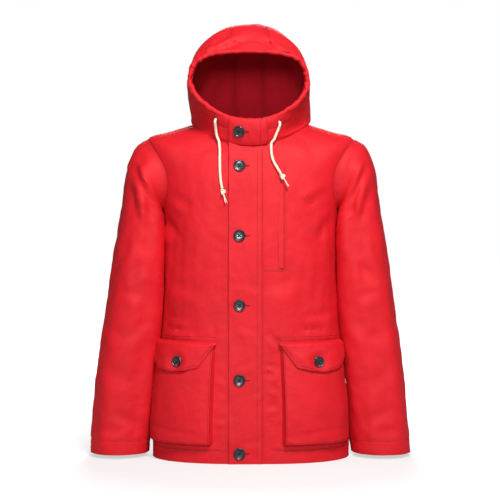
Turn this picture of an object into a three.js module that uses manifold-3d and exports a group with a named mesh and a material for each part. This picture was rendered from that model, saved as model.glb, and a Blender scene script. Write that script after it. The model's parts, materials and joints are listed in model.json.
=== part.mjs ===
// Hooded foul weather jacket in coated cotton, buttoned up and filled out as if it were worn.
// Millimetres, +Z up, the front faces -Y. The hem stands on Z = 0 and the origin is under the middle of it.
// "Left" and "right" are the wearer's: the wearer's left is +X.
import * as THREE from "three";
import { mergeVertices } from "three/addons/utils/BufferGeometryUtils.js";
import Module from "manifold-3d";

const wasm = await Module();
wasm.setup();

// ---------------------------------------------------------------- driving dimensions
const NECK_HEIGHT = 722; // hem to the neck seam at the side of the neck
const NAPE_RISE = 13; // the neck seam is this much higher at the nape
const THROAT_DROP = 56; // and this much lower at the throat
const SHOULDER_DROP = 37; // from the side of the neck to the end of the shoulder
const ARMHOLE_DEPTH = 158; // from the end of the shoulder to the underarm
const WAIST_HEIGHT = 300;
const POCKET_LEVEL = 110;

const NECK_HALF_WIDTH = 128;
const SHOULDER_HALF_WIDTH = 228;
const CHEST_HALF_WIDTH = 190;
const WAIST_HALF_WIDTH = 193;
const HEM_HALF_WIDTH = 214;
const NECK_FORE = 103; // how far the front of the neck seam lies before the middle
const NECK_AFT = 96;
const CHEST_FORE = 120;
const CHEST_AFT = 116;
const HEM_FORE = 126;
const HEM_AFT = 114;

const SHELL = 1.6; // outer cloth
const LINING = 1.2;
const CLEAR = 0.5; // between edges that are sewn together
const LAYER_GAP = 0.8; // between layers that lie on each other
const LINING_DEPTH = 5.6; // how far the lining lies inside the outer face
const FACING_DEPTH = 2.4;

const FRONT_CENTRE = -6; // the middle of the front, from the middle of the jacket
const PLACKET_FREE_SIDE = 39.5; // from the front's middle to the placket's loose edge
const PLACKET_SEWN_SIDE = 32; // and to the seam it turns on
const PLACKET_THICKNESS = 2.6;
const PLACKET_TOP_GAP = 3; // below the neck seam
const TAB_SEAM_GAP = 2.5; // above the neck seam
const TAB_RIM_GAP = 3; // below the rim
const TAB_SEWN_SIDE = 42;
const TAB_CLEAR = 1.2; // between the tab and the hood

const BUTTON_LINE = -17; // from the front's middle
const LOWEST_BUTTON = 22.5;
const BUTTON_STEPS = [152.5, 156, 146, 146]; // up the placket from the lowest button
const THROAT_BUTTON_DROP = 24; // below the top of the throat tab
const BUTTON_RADIUS = 12.5;
const BUTTON_THICKNESS = 4;
const BUTTON_HOLE_RADIUS = 1.2;
const BUTTON_HOLE_PITCH = 4.4;
const SHANK_RADIUS = 1.5;
const SHANK_GAP = 2; // between a button and the cloth that it holds down
const BUTTONHOLE_LENGTH = 27;
const BUTTONHOLE_WIDTH = 3.8;
const BUTTONHOLE_SHIFT = 10; // its middle is this far from the button's

const POCKET_INNER = 71.5; // from the front's middle to the pocket's inner edge
const POCKET_WIDTH = 160; // along the cloth
const POCKET_BOTTOM = 36;
const POCKET_MOUTH = 244;
const POCKET_DEPTH = 14; // how far the bellows stand out
const POCKET_MOUTH_DEPTH = 8; // and at the mouth
const POCKET_TAPER = 90; // below the mouth, until they stand out fully
const FLAP_CLEAR = 1.2; // between a flap and its pocket
const GUSSET = 1.8;
const FLAP_SEAM = 256;
const FLAP_END_DROP = 20;
const FLAP_SHOULDER_DROP = 59;
const FLAP_MIDDLE_DROP = 67;
const FLAP_SHOULDER = 0.18; // share of the width at which the flap's corner is cut
const FLAP_THICKNESS = 2.4;
const FLAP_SEAM_CLEAR = 1.3; // between the front and a flap at its seam
const FLAP_ROLL = 10; // the flap has come out over the pocket this far below its seam
const FLAP_OVERHANG = 3; // past each side of the pocket
const POCKET_BUTTON_DROP = 45; // below the flap's seam

const CHEST_POCKET_LINE = 76; // from the front's middle to the mouth
const CHEST_POCKET_LOW = 409;
const CHEST_POCKET_HIGH = 584;
const WELT_WIDTH = 12;
const CHEST_BAG_WIDTH = 86;

const HEM_FACING = 27;
const FRONT_FACING = 40;
const CUFF_FACING = 32;
const HEM_TRIM = 1; // the cloth is laid out this far below the hem, and cut there
const LINING_HEM = 20; // the lining ends this far above the hem

const CUFF_HEIGHT = 8;
const CUFF_OUTER = 349;
const CUFF_INNER = 229;
const CUFF_HALF_DEPTH = 60;
const SLEEVE_HALF_DEPTH = 80;
const ARMHOLE_HALF_DEPTH = 76;
const SLEEVE_FORWARD = 12; // the cuffs hang this much forward
const SLEEVE_CLEAR = 0.7; // between a sleeve's head and the armhole

const HOOD_RISE = 224; // from the neck seam to the crown
const RIM_TOP_RISE = 144; // and to the top of the face opening
const RIM_DROP = 1; // the bottom of the face opening lies this far below the neck seam's side
const RIM_HALF_WIDTH = 131;
const HOOD_HALF_WIDTH = 134;
const HOOD_BACK = 128; // how far the hood reaches behind the middle
const HOOD_PANEL_HALF = 41; // half of the middle panel's width
const CASING_WIDTH = 26; // from the rim
const CASING_WALL = 1.1;
const CASING_CLEAR = 1.1; // between the casing and the hood
const CASING_DEPTH = 13;

const CORD_DIAMETER = 5.5;
const EYELET_SIDE = 65.5; // from the front's middle
const EYELET_DROP = 15; // below the rim
const EYELET_RIM = 5; // outer radius
const EYELET_BORE = 3.3;
const EYELET_THICKNESS = 1.2;
const KNOT_RADIUS = 6;
const KNOT_LENGTH = 15;
const TAIL_LENGTH = 17;
const TAIL_RADIUS = 1.4;

const LOOP_LENGTH = 62;
const LOOP_WIDTH = 8;
const LOOP_SAG = 10;
const NECK_TAPE = 16;

const DEG = Math.PI / 180;
const red = { color: 0xd2202c, roughness: 0.78, metalness: 0 };
const liningRed = { color: 0x9c1420, roughness: 0.9, metalness: 0 };
const buttonBlack = { color: 0x23262a, roughness: 0.3, metalness: 0 };
const threadBlack = { color: 0x14120f, roughness: 0.9, metalness: 0 };
const cordCream = { color: 0xf3ead2, roughness: 0.85, metalness: 0 };
const brass = { color: 0x8c7a54, roughness: 0.4, metalness: 1 };

// ---------------------------------------------------------------- solids and meshes
const jacket = new THREE.Group();

function addMesh(name, geometry, look) {
  const mesh = new THREE.Mesh(geometry, new THREE.MeshStandardMaterial(look));
  mesh.name = name;
  jacket.add(mesh);
  return mesh;
}

function toSolid(geometry) {
  const bare = new THREE.BufferGeometry().setAttribute("position", geometry.getAttribute("position"));
  if (geometry.index) bare.setIndex(geometry.index);
  const merged = mergeVertices(bare, 1e-4);
  return new wasm.Manifold(
    new wasm.Mesh({
      numProp: 3,
      vertProperties: new Float32Array(merged.attributes.position.array),
      triVerts: new Uint32Array(merged.index.array),
    }),
  );
}

function toGeometry(solid) {
  const { numProp, numVert, vertProperties, triVerts } = solid.getMesh();
  const position = new Float32Array(numVert * 3);
  for (let i = 0; i < numVert; i++) {
    position.set(vertProperties.subarray(i * numProp, i * numProp + 3), i * 3);
  }
  const geometry = new THREE.BufferGeometry();
  geometry.setAttribute("position", new THREE.BufferAttribute(position, 3));
  geometry.setIndex(new THREE.BufferAttribute(new Uint32Array(triVerts), 1));
  return geometry;
}

function boxSolid(low, high) {
  const size = new THREE.Vector3().subVectors(high, low);
  const geometry = new THREE.BoxGeometry(size.x, size.y, size.z);
  geometry.translate(low.x + size.x / 2, low.y + size.y / 2, low.z + size.z / 2);
  return toSolid(geometry);
}

// The largest separate body of a solid, without the slivers that a cut leaves.
function mainBody(solid) {
  return solid.decompose().reduce((a, b) => (b.volume() > a.volume() ? b : a));
}

// A slab of cloth between two offsets of a surface. surface(s, t, offset) gives a point for s and t
// from 0 to 1.
// With wrap, s runs once round and the slab is a tube.
function cloth(surface, columns, rows, inner, outer, wrap = false) {
  const positions = [];
  const index = [];
  const count = wrap ? columns : columns + 1;
  for (const offset of [outer, inner]) {
    for (let i = 0; i < count; i++) {
      for (let j = 0; j <= rows; j++) positions.push(...surface(i / columns, j / rows, offset).toArray());
    }
  }
  const at = (layer, i, j) => layer * count * (rows + 1) + (i % count) * (rows + 1) + j;
  const quad = (a, b, c, d) => index.push(a, b, c, a, c, d);
  for (let i = 0; i < columns; i++) {
    for (let j = 0; j < rows; j++) {
      quad(at(0, i, j), at(0, i + 1, j), at(0, i + 1, j + 1), at(0, i, j + 1));
      quad(at(1, i, j), at(1, i, j + 1), at(1, i + 1, j + 1), at(1, i + 1, j));
    }
    quad(at(0, i, 0), at(1, i, 0), at(1, i + 1, 0), at(0, i + 1, 0));
    quad(at(0, i, rows), at(0, i + 1, rows), at(1, i + 1, rows), at(1, i, rows));
  }
  if (!wrap) {
    for (let j = 0; j < rows; j++) {
      quad(at(0, 0, j), at(0, 0, j + 1), at(1, 0, j + 1), at(1, 0, j));
      quad(at(0, columns, j), at(1, columns, j), at(1, columns, j + 1), at(0, columns, j + 1));
    }
  }
  const geometry = new THREE.BufferGeometry();
  geometry.setAttribute("position", new THREE.Float32BufferAttribute(positions, 3));
  geometry.setIndex(index);
  return facingOut(geometry);
}

function facingOut(geometry) {
  const p = geometry.getAttribute("position");
  const index = geometry.index.array;
  const [a, b, c] = [new THREE.Vector3(), new THREE.Vector3(), new THREE.Vector3()];
  let volume = 0;
  for (let i = 0; i < index.length; i += 3) {
    a.fromBufferAttribute(p, index[i]);
    b.fromBufferAttribute(p, index[i + 1]);
    c.fromBufferAttribute(p, index[i + 2]);
    volume += a.dot(b.cross(c));
  }
  if (volume < 0) {
    for (let i = 0; i < index.length; i += 3) [index[i + 1], index[i + 2]] = [index[i + 2], index[i + 1]];
  }
  return geometry;
}

// A surface with offsets made from one without: each point moves out along the surface's own normal.
function withOffset(point, middle) {
  const step = 1e-3;
  return (s, t, offset) => {
    const here = point(s, t);
    if (offset === 0) return here;
    const t0 = Math.max(0, t - step);
    const t1 = Math.min(1, t + step);
    const alongS = point(s + step, t).sub(point(s - step, t));
    const alongT = point(s, t1).sub(point(s, t0));
    const normal = alongS.cross(alongT).normalize();
    if (normal.dot(here.clone().sub(middle(t))) < 0) normal.negate();
    return here.addScaledVector(normal, offset);
  };
}

// Numbers that change smoothly from station to station, as t goes from 0 to 1.
function alongStations(stations, t) {
  const place = THREE.MathUtils.clamp(t, 0, 1) * (stations.length - 1);
  const k = Math.min(Math.floor(place), stations.length - 2);
  const f = place - k;
  const get = (i) => stations[THREE.MathUtils.clamp(i, 0, stations.length - 1)];
  const [p, q, r, v] = [get(k - 1), get(k), get(k + 1), get(k + 2)];
  return q.map((_, n) => {
    const m0 = (r[n] - p[n]) / 2;
    const m1 = (v[n] - q[n]) / 2;
    const leaving = (2 * f ** 3 - 3 * f ** 2 + 1) * q[n] + (f ** 3 - 2 * f ** 2 + f) * m0;
    return leaving + (3 * f ** 2 - 2 * f ** 3) * r[n] + (f ** 3 - f ** 2) * m1;
  });
}

const power = (value, exponent) => Math.sign(value) * Math.abs(value) ** exponent;

// ---------------------------------------------------------------- the body of the jacket
const SHOULDER_HEIGHT = NECK_HEIGHT - SHOULDER_DROP;
const UNDERARM_HEIGHT = SHOULDER_HEIGHT - ARMHOLE_DEPTH;
const THROAT_HEIGHT = NECK_HEIGHT - THROAT_DROP;
const NAPE_HEIGHT = NECK_HEIGHT + NAPE_RISE;
const MID_ARMHOLE = (UNDERARM_HEIGHT + SHOULDER_HEIGHT) / 2;
const RIB_HEIGHT = UNDERARM_HEIGHT - 90;
const YOKE_HALF_WIDTH = (SHOULDER_HALF_WIDTH + NECK_HALF_WIDTH) / 2;
const ARM_HALF_WIDTH = SHOULDER_HALF_WIDTH - 20;
const CLOSED_DROP = 38; // the shoulder's level lies this far below the throat at the front

// Each station: height at the side, front and back, half width, depth before and behind, squareness.
const BODY_STATIONS = [
  [-HEM_TRIM, -HEM_TRIM, -HEM_TRIM, HEM_HALF_WIDTH, HEM_FORE, HEM_AFT, 2.5],
  [POCKET_LEVEL, POCKET_LEVEL, POCKET_LEVEL, HEM_HALF_WIDTH - 1, HEM_FORE, HEM_AFT, 2.5],
  [WAIST_HEIGHT, WAIST_HEIGHT, WAIST_HEIGHT, WAIST_HALF_WIDTH, CHEST_FORE, CHEST_AFT - 6, 2.5],
  [RIB_HEIGHT, RIB_HEIGHT, RIB_HEIGHT, CHEST_HALF_WIDTH - 1, CHEST_FORE + 2, CHEST_AFT, 2.5],
  [UNDERARM_HEIGHT, UNDERARM_HEIGHT, UNDERARM_HEIGHT, CHEST_HALF_WIDTH, CHEST_FORE, CHEST_AFT + 2, 2.5],
  [MID_ARMHOLE, MID_ARMHOLE - 14, MID_ARMHOLE + 6, ARM_HALF_WIDTH, CHEST_FORE - 3, CHEST_AFT + 4, 2.5],
  [
    SHOULDER_HEIGHT,
    THROAT_HEIGHT - CLOSED_DROP,
    SHOULDER_HEIGHT + 2,
    SHOULDER_HALF_WIDTH,
    CHEST_FORE - 8,
    CHEST_AFT - 2,
    2.3,
  ],
  [NECK_HEIGHT - 16, THROAT_HEIGHT - 13, NECK_HEIGHT - 2, YOKE_HALF_WIDTH, NECK_FORE + 5, NECK_AFT + 11, 2.1],
  [NECK_HEIGHT, THROAT_HEIGHT, NAPE_HEIGHT, NECK_HALF_WIDTH, NECK_FORE, NECK_AFT, 2],
];

// turn is in degrees: 0 at the left side, 90 at the front, 180 at the right side, 270 at the back.
function bodyPoint(turn, rise) {
  const [side, front, back, width, fore, aft, square] = alongStations(BODY_STATIONS, rise);
  const c = Math.cos(turn * DEG);
  const s = Math.sin(turn * DEG);
  const end = s > 0 ? front : back;
  return new THREE.Vector3(
    width * power(c, 2 / square),
    -(s > 0 ? fore : aft) * power(s, 2 / square),
    side + (end - side) * s * s,
  );
}

const bodyMiddle = (t) => new THREE.Vector3(0, 0, alongStations(BODY_STATIONS, t)[0] - 40 * t);
const bodyTube = withOffset((s, t) => bodyPoint(s * 360, t), bodyMiddle);

function riseAt(turn, height) {
  let [low, high] = [0, 1];
  for (let i = 0; i < 26; i++) {
    const middle = (low + high) / 2;
    if (bodyPoint(turn, middle).z < height) low = middle;
    else high = middle;
  }
  return (low + high) / 2;
}

// A point on the body by its turn and height.
const onBody = (turn, height, offset) => bodyTube(turn / 360, riseAt(turn, height), offset);

// The turn at which the front reaches a given x at a given height.
function turnAt(x, height) {
  let [low, high] = [1, 179];
  for (let i = 0; i < 26; i++) {
    const middle = (low + high) / 2;
    if (bodyPoint(middle, riseAt(middle, height)).x > x) low = middle;
    else high = middle;
  }
  return (low + high) / 2;
}

// A point on the front by its x and height.
const onFront = (x, height, offset) => onBody(turnAt(x, height), height, offset);

const BODY_COLUMNS = 32;
// The rises of the body's rows: its stations, and one more between the pockets' level and the waist.
const bodyRises = [0, 1, 1.5, 2, 3, 4, 5, 6, 7, 8].map((k) => k / 8);
const FAR = 1200;
const LINING_TOP = 0.985; // the rises at which the body's lining and its front facings end
const FACING_TOP = 0.99;

const placketFree = FRONT_CENTRE - PLACKET_FREE_SIDE;
const placketSewn = FRONT_CENTRE + PLACKET_SEWN_SIDE;
const closingLine = placketSewn - 3; // where the two fronts meet under the placket

// The inside of an armhole, as a bar that runs out through the side of the body.
function armholeBar(side, inset) {
  const rows = 1;
  const bar = (s, t) => {
    const a = s * 2 * Math.PI;
    return new THREE.Vector3(
      side * (HEM_HALF_WIDTH * 0.45 + t * FAR * 0.3),
      (ARMHOLE_HALF_DEPTH - inset) * Math.cos(a),
      MID_ARMHOLE + (ARMHOLE_DEPTH / 2 - inset) * Math.sin(a),
    );
  };
  return fillTube(bar, 16, rows);
}

// The solid inside a tube-shaped surface, closed with flat ends.
function fillTube(point, columns, rows) {
  const positions = [];
  const index = [];
  for (let j = 0; j <= rows; j++) {
    for (let i = 0; i < columns; i++) positions.push(...point(i / columns, j / rows).toArray());
  }
  for (const j of [0, rows]) {
    const centre = new THREE.Vector3();
    for (let i = 0; i < columns; i++) centre.add(point(i / columns, j / rows));
    positions.push(...centre.divideScalar(columns).toArray());
  }
  const at = (i, j) => j * columns + (i % columns);
  const bottom = (rows + 1) * columns;
  for (let i = 0; i < columns; i++) {
    for (let j = 0; j < rows; j++) {
      index.push(at(i, j), at(i + 1, j), at(i + 1, j + 1), at(i, j), at(i + 1, j + 1), at(i, j + 1));
    }
    index.push(bottom, at(i + 1, 0), at(i, 0), bottom + 1, at(i, rows), at(i + 1, rows));
  }
  const geometry = new THREE.BufferGeometry();
  geometry.setAttribute("position", new THREE.Float32BufferAttribute(positions, 3));
  geometry.setIndex(index);
  return toSolid(facingOut(geometry));
}

const bodyFilled = fillTube(
  (s, t) => bodyTube(s, bodyRises[Math.round(t * (bodyRises.length - 1))], SLEEVE_CLEAR),
  BODY_COLUMNS,
  bodyRises.length - 1,
);

// The body's cloth between two rises, without the armholes.
function bodyShell(low, high, inner, outer, armholeInset, columns = BODY_COLUMNS) {
  const rises = rowsBetween(low, high);
  const band = (s, t, offset) => bodyTube(s, rises[Math.round(t * (rises.length - 1))], offset);
  let shell = toSolid(cloth(band, columns, rises.length - 1, inner, outer, true));
  for (const side of [-1, 1]) shell = shell.subtract(armholeBar(side, armholeInset));
  return shell;
}

// The parts of the body that each panel keeps: two fronts and a back, cut apart at the sides.
const panelRegions = {
  front_left: [new THREE.Vector3(closingLine + CLEAR / 2, -FAR, 0), new THREE.Vector3(FAR, -CLEAR / 2, FAR)],
  front_right: [
    new THREE.Vector3(-FAR, -FAR, 0),
    new THREE.Vector3(closingLine - CLEAR / 2, -CLEAR / 2, FAR),
  ],
  back: [new THREE.Vector3(-FAR, CLEAR / 2, 0), new THREE.Vector3(FAR, FAR, FAR)],
};

function addBodyPanels() {
  const shell = bodyShell(0, 1, -SHELL, 0, SHELL);
  for (const [name, [low, high]] of Object.entries(panelRegions)) {
    addMesh(name + "_panel", toGeometry(mainBody(shell.intersect(boxSolid(low, high)))), red);
  }
  const foot = riseAt(90, LINING_HEM);
  const lining = bodyShell(foot, LINING_TOP, -LINING_DEPTH, LINING - LINING_DEPTH, -2, BODY_COLUMNS / 2);
  const inset = FRONT_FACING * 0.8;
  for (const [name, [low, high]] of Object.entries(panelRegions)) {
    const from = low.clone();
    const to = high.clone();
    if (name === "front_left") from.x += inset;
    if (name === "front_right") to.x -= inset;
    addMesh("lining_" + name, toGeometry(mainBody(lining.intersect(boxSolid(from, to)))), liningRed);
  }
}

// The rows of a piece that lies on the body between two rises: its ends, and the body's own rows between
// them, so that both bend at the same lines.
function rowsBetween(low, high) {
  return [low, ...bodyRises.filter((rise) => rise > low + 0.01 && rise < high - 0.01), high];
}

// The turn at which the front reaches a given x on a given row.
function turnOnRow(x, rise) {
  let [low, high] = [1, 179];
  for (let i = 0; i < 26; i++) {
    const middle = (low + high) / 2;
    if (bodyPoint(middle, rise).x > x) low = middle;
    else high = middle;
  }
  return (low + high) / 2;
}

// A strip on the front between two x positions and two heights.
function frontStrip(x0, x1, low, high, inner, outer, columns) {
  const rises = rowsBetween(riseAt(90, low), riseAt(90, high));
  const strip = (s, t, offset) => {
    const rise = rises[Math.round(t * (rises.length - 1))];
    return bodyTube(turnOnRow(x0 + (x1 - x0) * s, rise) / 360, rise, offset);
  };
  return toSolid(cloth(strip, columns, rises.length - 1, inner, outer));
}

// A piece of the body's cloth between two rises and inside a box.
function bodyPatch(low, high, inner, outer, from, to) {
  return toGeometry(mainBody(bodyShell(low, high, inner, outer, SHELL).intersect(boxSolid(from, to))));
}

function frontBox(x0, x1) {
  return [new THREE.Vector3(x0, -FAR, -1), new THREE.Vector3(x1, 0, FAR)];
}

function addFacings() {
  const outer = -FACING_DEPTH;
  const inner = outer - LINING;
  const foot = riseAt(90, 1);
  const left = frontBox(closingLine + CLEAR, closingLine + FRONT_FACING);
  addMesh("front_facing_left", bodyPatch(foot, FACING_TOP, inner, outer, ...left), red);
  const right = frontBox(closingLine - FRONT_FACING, closingLine - CLEAR);
  addMesh("front_facing_right", bodyPatch(foot, FACING_TOP, inner, outer, ...right), red);
  const hem = bodyShell(foot, riseAt(90, HEM_FACING), inner, outer, SHELL);
  const gap = frontBox(closingLine - FRONT_FACING - CLEAR, closingLine + FRONT_FACING + CLEAR);
  addMesh("hem_facing", toGeometry(hem.subtract(boxSolid(...gap))), red);
}

// ---------------------------------------------------------------- hood
// Each station, from the rim to the neck seam: y and z of the top, of the middle and of the bottom, half
// width, squareness of the upper half, and how the height follows the turn.
const CROWN_HEIGHT = NECK_HEIGHT + HOOD_RISE;
const RIM_TOP = NECK_HEIGHT + RIM_TOP_RISE;
const RIM_BOTTOM = NECK_HEIGHT - RIM_DROP;
const HOOD_STATIONS = [
  [-112, RIM_TOP, -98, RIM_TOP - 60, -119, RIM_BOTTOM, RIM_HALF_WIDTH, 2.7, 1],
  [-64, CROWN_HEIGHT - 17, -62, NECK_HEIGHT + 93, -121, RIM_BOTTOM - 9, HOOD_HALF_WIDTH, 2.3, 1],
  [10, CROWN_HEIGHT, -15, NECK_HEIGHT + 78, -120, RIM_BOTTOM - 19, HOOD_HALF_WIDTH - 1, 2.1, 1],
  [94, CROWN_HEIGHT - 42, 14, NECK_HEIGHT + 53, -117, RIM_BOTTOM - 29, HOOD_HALF_WIDTH - 2, 2.1, 1.1],
  [HOOD_BACK, CROWN_HEIGHT - 122, 22, NECK_HEIGHT + 26, -113, RIM_BOTTOM - 39, HOOD_HALF_WIDTH - 3, 2, 1.3],
  [
    HOOD_BACK - 10,
    NAPE_HEIGHT + 35,
    14,
    NECK_HEIGHT + 10,
    -109,
    THROAT_HEIGHT + 8,
    NECK_HALF_WIDTH + 3,
    2,
    1.6,
  ],
  [NECK_AFT, NAPE_HEIGHT, 0, NECK_HEIGHT, -NECK_FORE, THROAT_HEIGHT, NECK_HALF_WIDTH, 2, 2],
];

// turn is in degrees: 0 at the left, 90 at the top, 270 at the throat. way goes from 0 at the rim to 1 at
// the neck.
function hoodPoint(turn, way) {
  const [topY, topZ, midY, midZ, lowY, lowZ, width, square, follow] = alongStations(HOOD_STATIONS, way);
  const c = Math.cos(turn * DEG);
  const s = Math.sin(turn * DEG);
  const n = s > 0 ? square : 2;
  const rise = Math.abs(s) ** (2 / n);
  const [endY, endZ] = s > 0 ? [topY, topZ] : [lowY, lowZ];
  const lift = rise ** follow;
  return new THREE.Vector3(width * power(c, 2 / n), midY + (endY - midY) * rise, midZ + (endZ - midZ) * lift);
}

const hoodMiddle = (t) => new THREE.Vector3(0, -40 + 40 * t, NECK_HEIGHT + 84 - 70 * t);
const NECK_SEAM_GAP = 0.9;
const hoodTube = withOffset((s, t) => {
  const p = hoodPoint(s * 360, t);
  p.z += NECK_SEAM_GAP * t;
  return p;
}, hoodMiddle);

const HOOD_ROWS = 9;
const HOOD_SIDE_COLUMNS = 12;
const HOOD_MIDDLE_COLUMNS = 5;
const EYELET_LIFT = 0.5; // an eyelet stands this far off the cloth
const slitX = placketSewn - 1; // where the two sides of the hood meet, under the throat tab

// The way at which the hood's cloth has run a given distance from the rim, at one turn.
function wayAfter(turn, distance) {
  const step = 0.005;
  let way = 0;
  let run = 0;
  let here = hoodPoint(turn, 0);
  while (way < 1) {
    const next = hoodPoint(turn, way + step);
    const length = next.distanceTo(here);
    if (run + length >= distance) return way + (step * (distance - run)) / length;
    run += length;
    way += step;
    here = next;
  }
  return 1;
}

// The length of the hood's cloth from the rim to the neck seam, at one turn.
function runToNeck(turn) {
  let run = 0;
  for (let k = 0; k < 200; k++) run += hoodPoint(turn, k / 200).distanceTo(hoodPoint(turn, (k + 1) / 200));
  return run;
}

// Turns on the hood's lower half by x, and on its upper half by x.
const throatTurn = (x) => 270 + Math.asin(x / RIM_HALF_WIDTH) / DEG;
const crownTurn = (x) => Math.acos((x / RIM_HALF_WIDTH) ** 1.2) / DEG;

// The hood's panels, as turns from one edge to the other: the middle one runs over the head, and the side
// ones end at the throat slit. All layers of the hood bend at the same turns.
const slitTurn = throatTurn(slitX);
const seamTurn = crownTurn(HOOD_PANEL_HALF);
const hoodPanelTurns = {
  left: [slitTurn + 0.3 - 360, seamTurn - 0.25, HOOD_SIDE_COLUMNS],
  middle: [seamTurn + 0.25, 180 - seamTurn - 0.25, HOOD_MIDDLE_COLUMNS],
  right: [180 - seamTurn + 0.25, slitTurn - 0.3, HOOD_SIDE_COLUMNS],
};

// The way of a row of the hood's cloth: the rim, the casing's edge, and then evenly to the neck seam.
function hoodRow(turn, row) {
  if (row === 0) return 0;
  const edge = wayAfter(turn, CASING_WIDTH + 0.8);
  return edge + ((1 - edge) * (row - 1)) / (HOOD_ROWS - 1);
}

function hoodPanels(inner, outer, firstRow) {
  const solids = {};
  for (const [name, [turn0, turn1, columns]] of Object.entries(hoodPanelTurns)) {
    const rows = HOOD_ROWS - firstRow;
    const surface = (s, t, offset) => {
      const turn = turn0 + (turn1 - turn0) * s;
      return hoodTube(turn / 360, hoodRow(turn, firstRow + Math.round(t * rows)), offset);
    };
    solids[name] = toSolid(cloth(surface, columns, rows, inner, outer));
  }
  return solids;
}

// A point in the flat band along the rim, which the casing follows.
function rimBand(turn, distance, offset) {
  const rim = hoodTube(turn / 360, 0, offset);
  const edge = hoodTube(turn / 360, wayAfter(turn, CASING_WIDTH), offset);
  return rim.lerp(edge, distance / CASING_WIDTH);
}

function eyeletFrame(side) {
  const turn = throatTurn(FRONT_CENTRE + side * EYELET_SIDE);
  const at = rimBand(turn, EYELET_DROP, 0);
  const out = rimBand(turn, EYELET_DROP, 10).sub(at).normalize();
  return { at, out };
}

// A turned solid set on a point, its axis along a direction. The profile is in (radius, height) pairs.
function turned(profile, at, out, segments) {
  const points = profile.map(([r, h]) => new THREE.Vector2(r, h));
  const geometry = new THREE.LatheGeometry(points, segments);
  geometry.applyQuaternion(new THREE.Quaternion().setFromUnitVectors(new THREE.Vector3(0, 1, 0), out));
  geometry.translate(at.x, at.y, at.z);
  return geometry;
}

function rod(radius, low, high, at, out, segments) {
  return toSolid(turned([[0, low], [radius, low], [radius, high], [0, high]], at, out, segments));
}

const ring = (inner, outer, low, high) => [
  [inner, low],
  [outer, low],
  [outer, high],
  [inner, high],
  [inner, low],
];

function addHood() {
  const holes = [-1, 1].map((side) => {
    const { at, out } = eyeletFrame(side);
    return rod(EYELET_BORE + 0.6, -7, 6, at, out, 10);
  });
  const shell = hoodPanels(-SHELL, 0, 0);
  shell.right = shell.right.subtract(holes[0]);
  shell.left = shell.left.subtract(holes[1]);
  for (const [name, solid] of Object.entries(shell)) addMesh("hood_" + name, toGeometry(solid), red);
  const lining = hoodPanels(-LINING_DEPTH, LINING - LINING_DEPTH, 1);
  for (const [name, solid] of Object.entries(lining)) {
    addMesh("hood_lining_" + name, toGeometry(solid), liningRed);
  }
  addCasing(holes);
}

// The turns of the casing's columns: those of the hood's panels, with its ends a little short of the slit.
function casingTurns(reach) {
  const turns = [];
  for (const [turn0, turn1, columns] of Object.values(hoodPanelTurns)) {
    for (let i = 0; i <= columns; i++) turns.push(turn0 + ((turn1 - turn0) * i) / columns);
  }
  turns[0] += 1.2 - reach;
  turns[turns.length - 1] += reach - 1.2;
  return turns;
}

// A slab of the tunnel round the face opening: from one distance from the rim to another.
function casingSlab(reach, near, far, inner, outer) {
  const turns = casingTurns(reach);
  const columns = turns.length - 1;
  const slab = (s, t, offset) => {
    const turn = turns[Math.round(s * columns)];
    return hoodTube(turn / 360, wayAfter(turn, near + (far - near) * t), offset);
  };
  return toSolid(cloth(slab, columns, 1, inner, outer));
}

function addCasing(holes) {
  const top = -SHELL - CASING_CLEAR;
  const bottom = -SHELL - CASING_DEPTH;
  let casing = casingSlab(0, 0.8, CASING_WIDTH, bottom, top).subtract(
    casingSlab(1.1, 0.8 + CASING_WALL, CASING_WIDTH - CASING_WALL, bottom + CASING_WALL, top - CASING_WALL),
  );
  for (const hole of holes) casing = casing.subtract(hole);
  addMesh("hood_casing", toGeometry(mainBody(casing)), red);
  for (const side of [-1, 1]) {
    const { at, out } = eyeletFrame(side);
    const base = at.clone().addScaledVector(out, EYELET_LIFT);
    const name = side < 0 ? "eyelet_right" : "eyelet_left";
    addMesh(name, turned(ring(EYELET_BORE, EYELET_RIM, 0, EYELET_THICKNESS), base, out, 14), brass);
  }
}

// ---------------------------------------------------------------- drawcord
const cordRadius = CORD_DIAMETER / 2;

function tube(points, radius, steps, sides) {
  const curve = new THREE.CatmullRomCurve3(points, false, "centripetal");
  const section = new THREE.Shape();
  for (let i = 0; i < sides; i++) {
    const a = (i / sides) * 2 * Math.PI;
    section[i ? "lineTo" : "moveTo"](radius * Math.cos(a), radius * Math.sin(a));
  }
  section.closePath();
  return new THREE.ExtrudeGeometry(section, { steps, bevelEnabled: false, extrudePath: curve });
}

// The loose ends, from each eyelet to the knot: x, height, and how far the middle of the cord stands off the
// front.
const CORD_ROUTES = {
  right: [
    [-69.5, 704, 6],
    [-68, 690, 6],
    [-66, 673, 6.5],
    [-64, 656, 6.5],
    [-64, 639, 6],
    [-63.8, 622, 5.5],
    [-63, 604, 5.5],
    [-61, 586, 5.5],
    [-58.5, 575, 6],
  ],
  left: [
    [56.5, 705, 6],
    [52, 694, 6],
    [47, 682, 6.5],
    [43.8, 669, 6.5],
    [43, 655, 6.5],
    [45, 641, 6],
    [50, 628, 6],
    [56.5, 617, 6],
    [63, 606, 6.5],
  ],
};

const neckSeamHeight = (x) => NECK_HEIGHT - THROAT_DROP * (1 - (x / NECK_HALF_WIDTH) ** 2);

// A point off the front of the jacket, on the hood above the neck seam and on the body below it.
function offFront(x, height, offset) {
  if (height <= neckSeamHeight(x)) return onFront(x, height, offset);
  let [low, high] = [0, 1];
  const turnOf = (way) => 270 + Math.asin(x / alongStations(HOOD_STATIONS, way)[6]) / DEG;
  for (let i = 0; i < 26; i++) {
    const middle = (low + high) / 2;
    if (hoodPoint(turnOf(middle), middle).z > height) low = middle;
    else high = middle;
  }
  return hoodTube(turnOf(low) / 360, low, offset);
}

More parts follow.
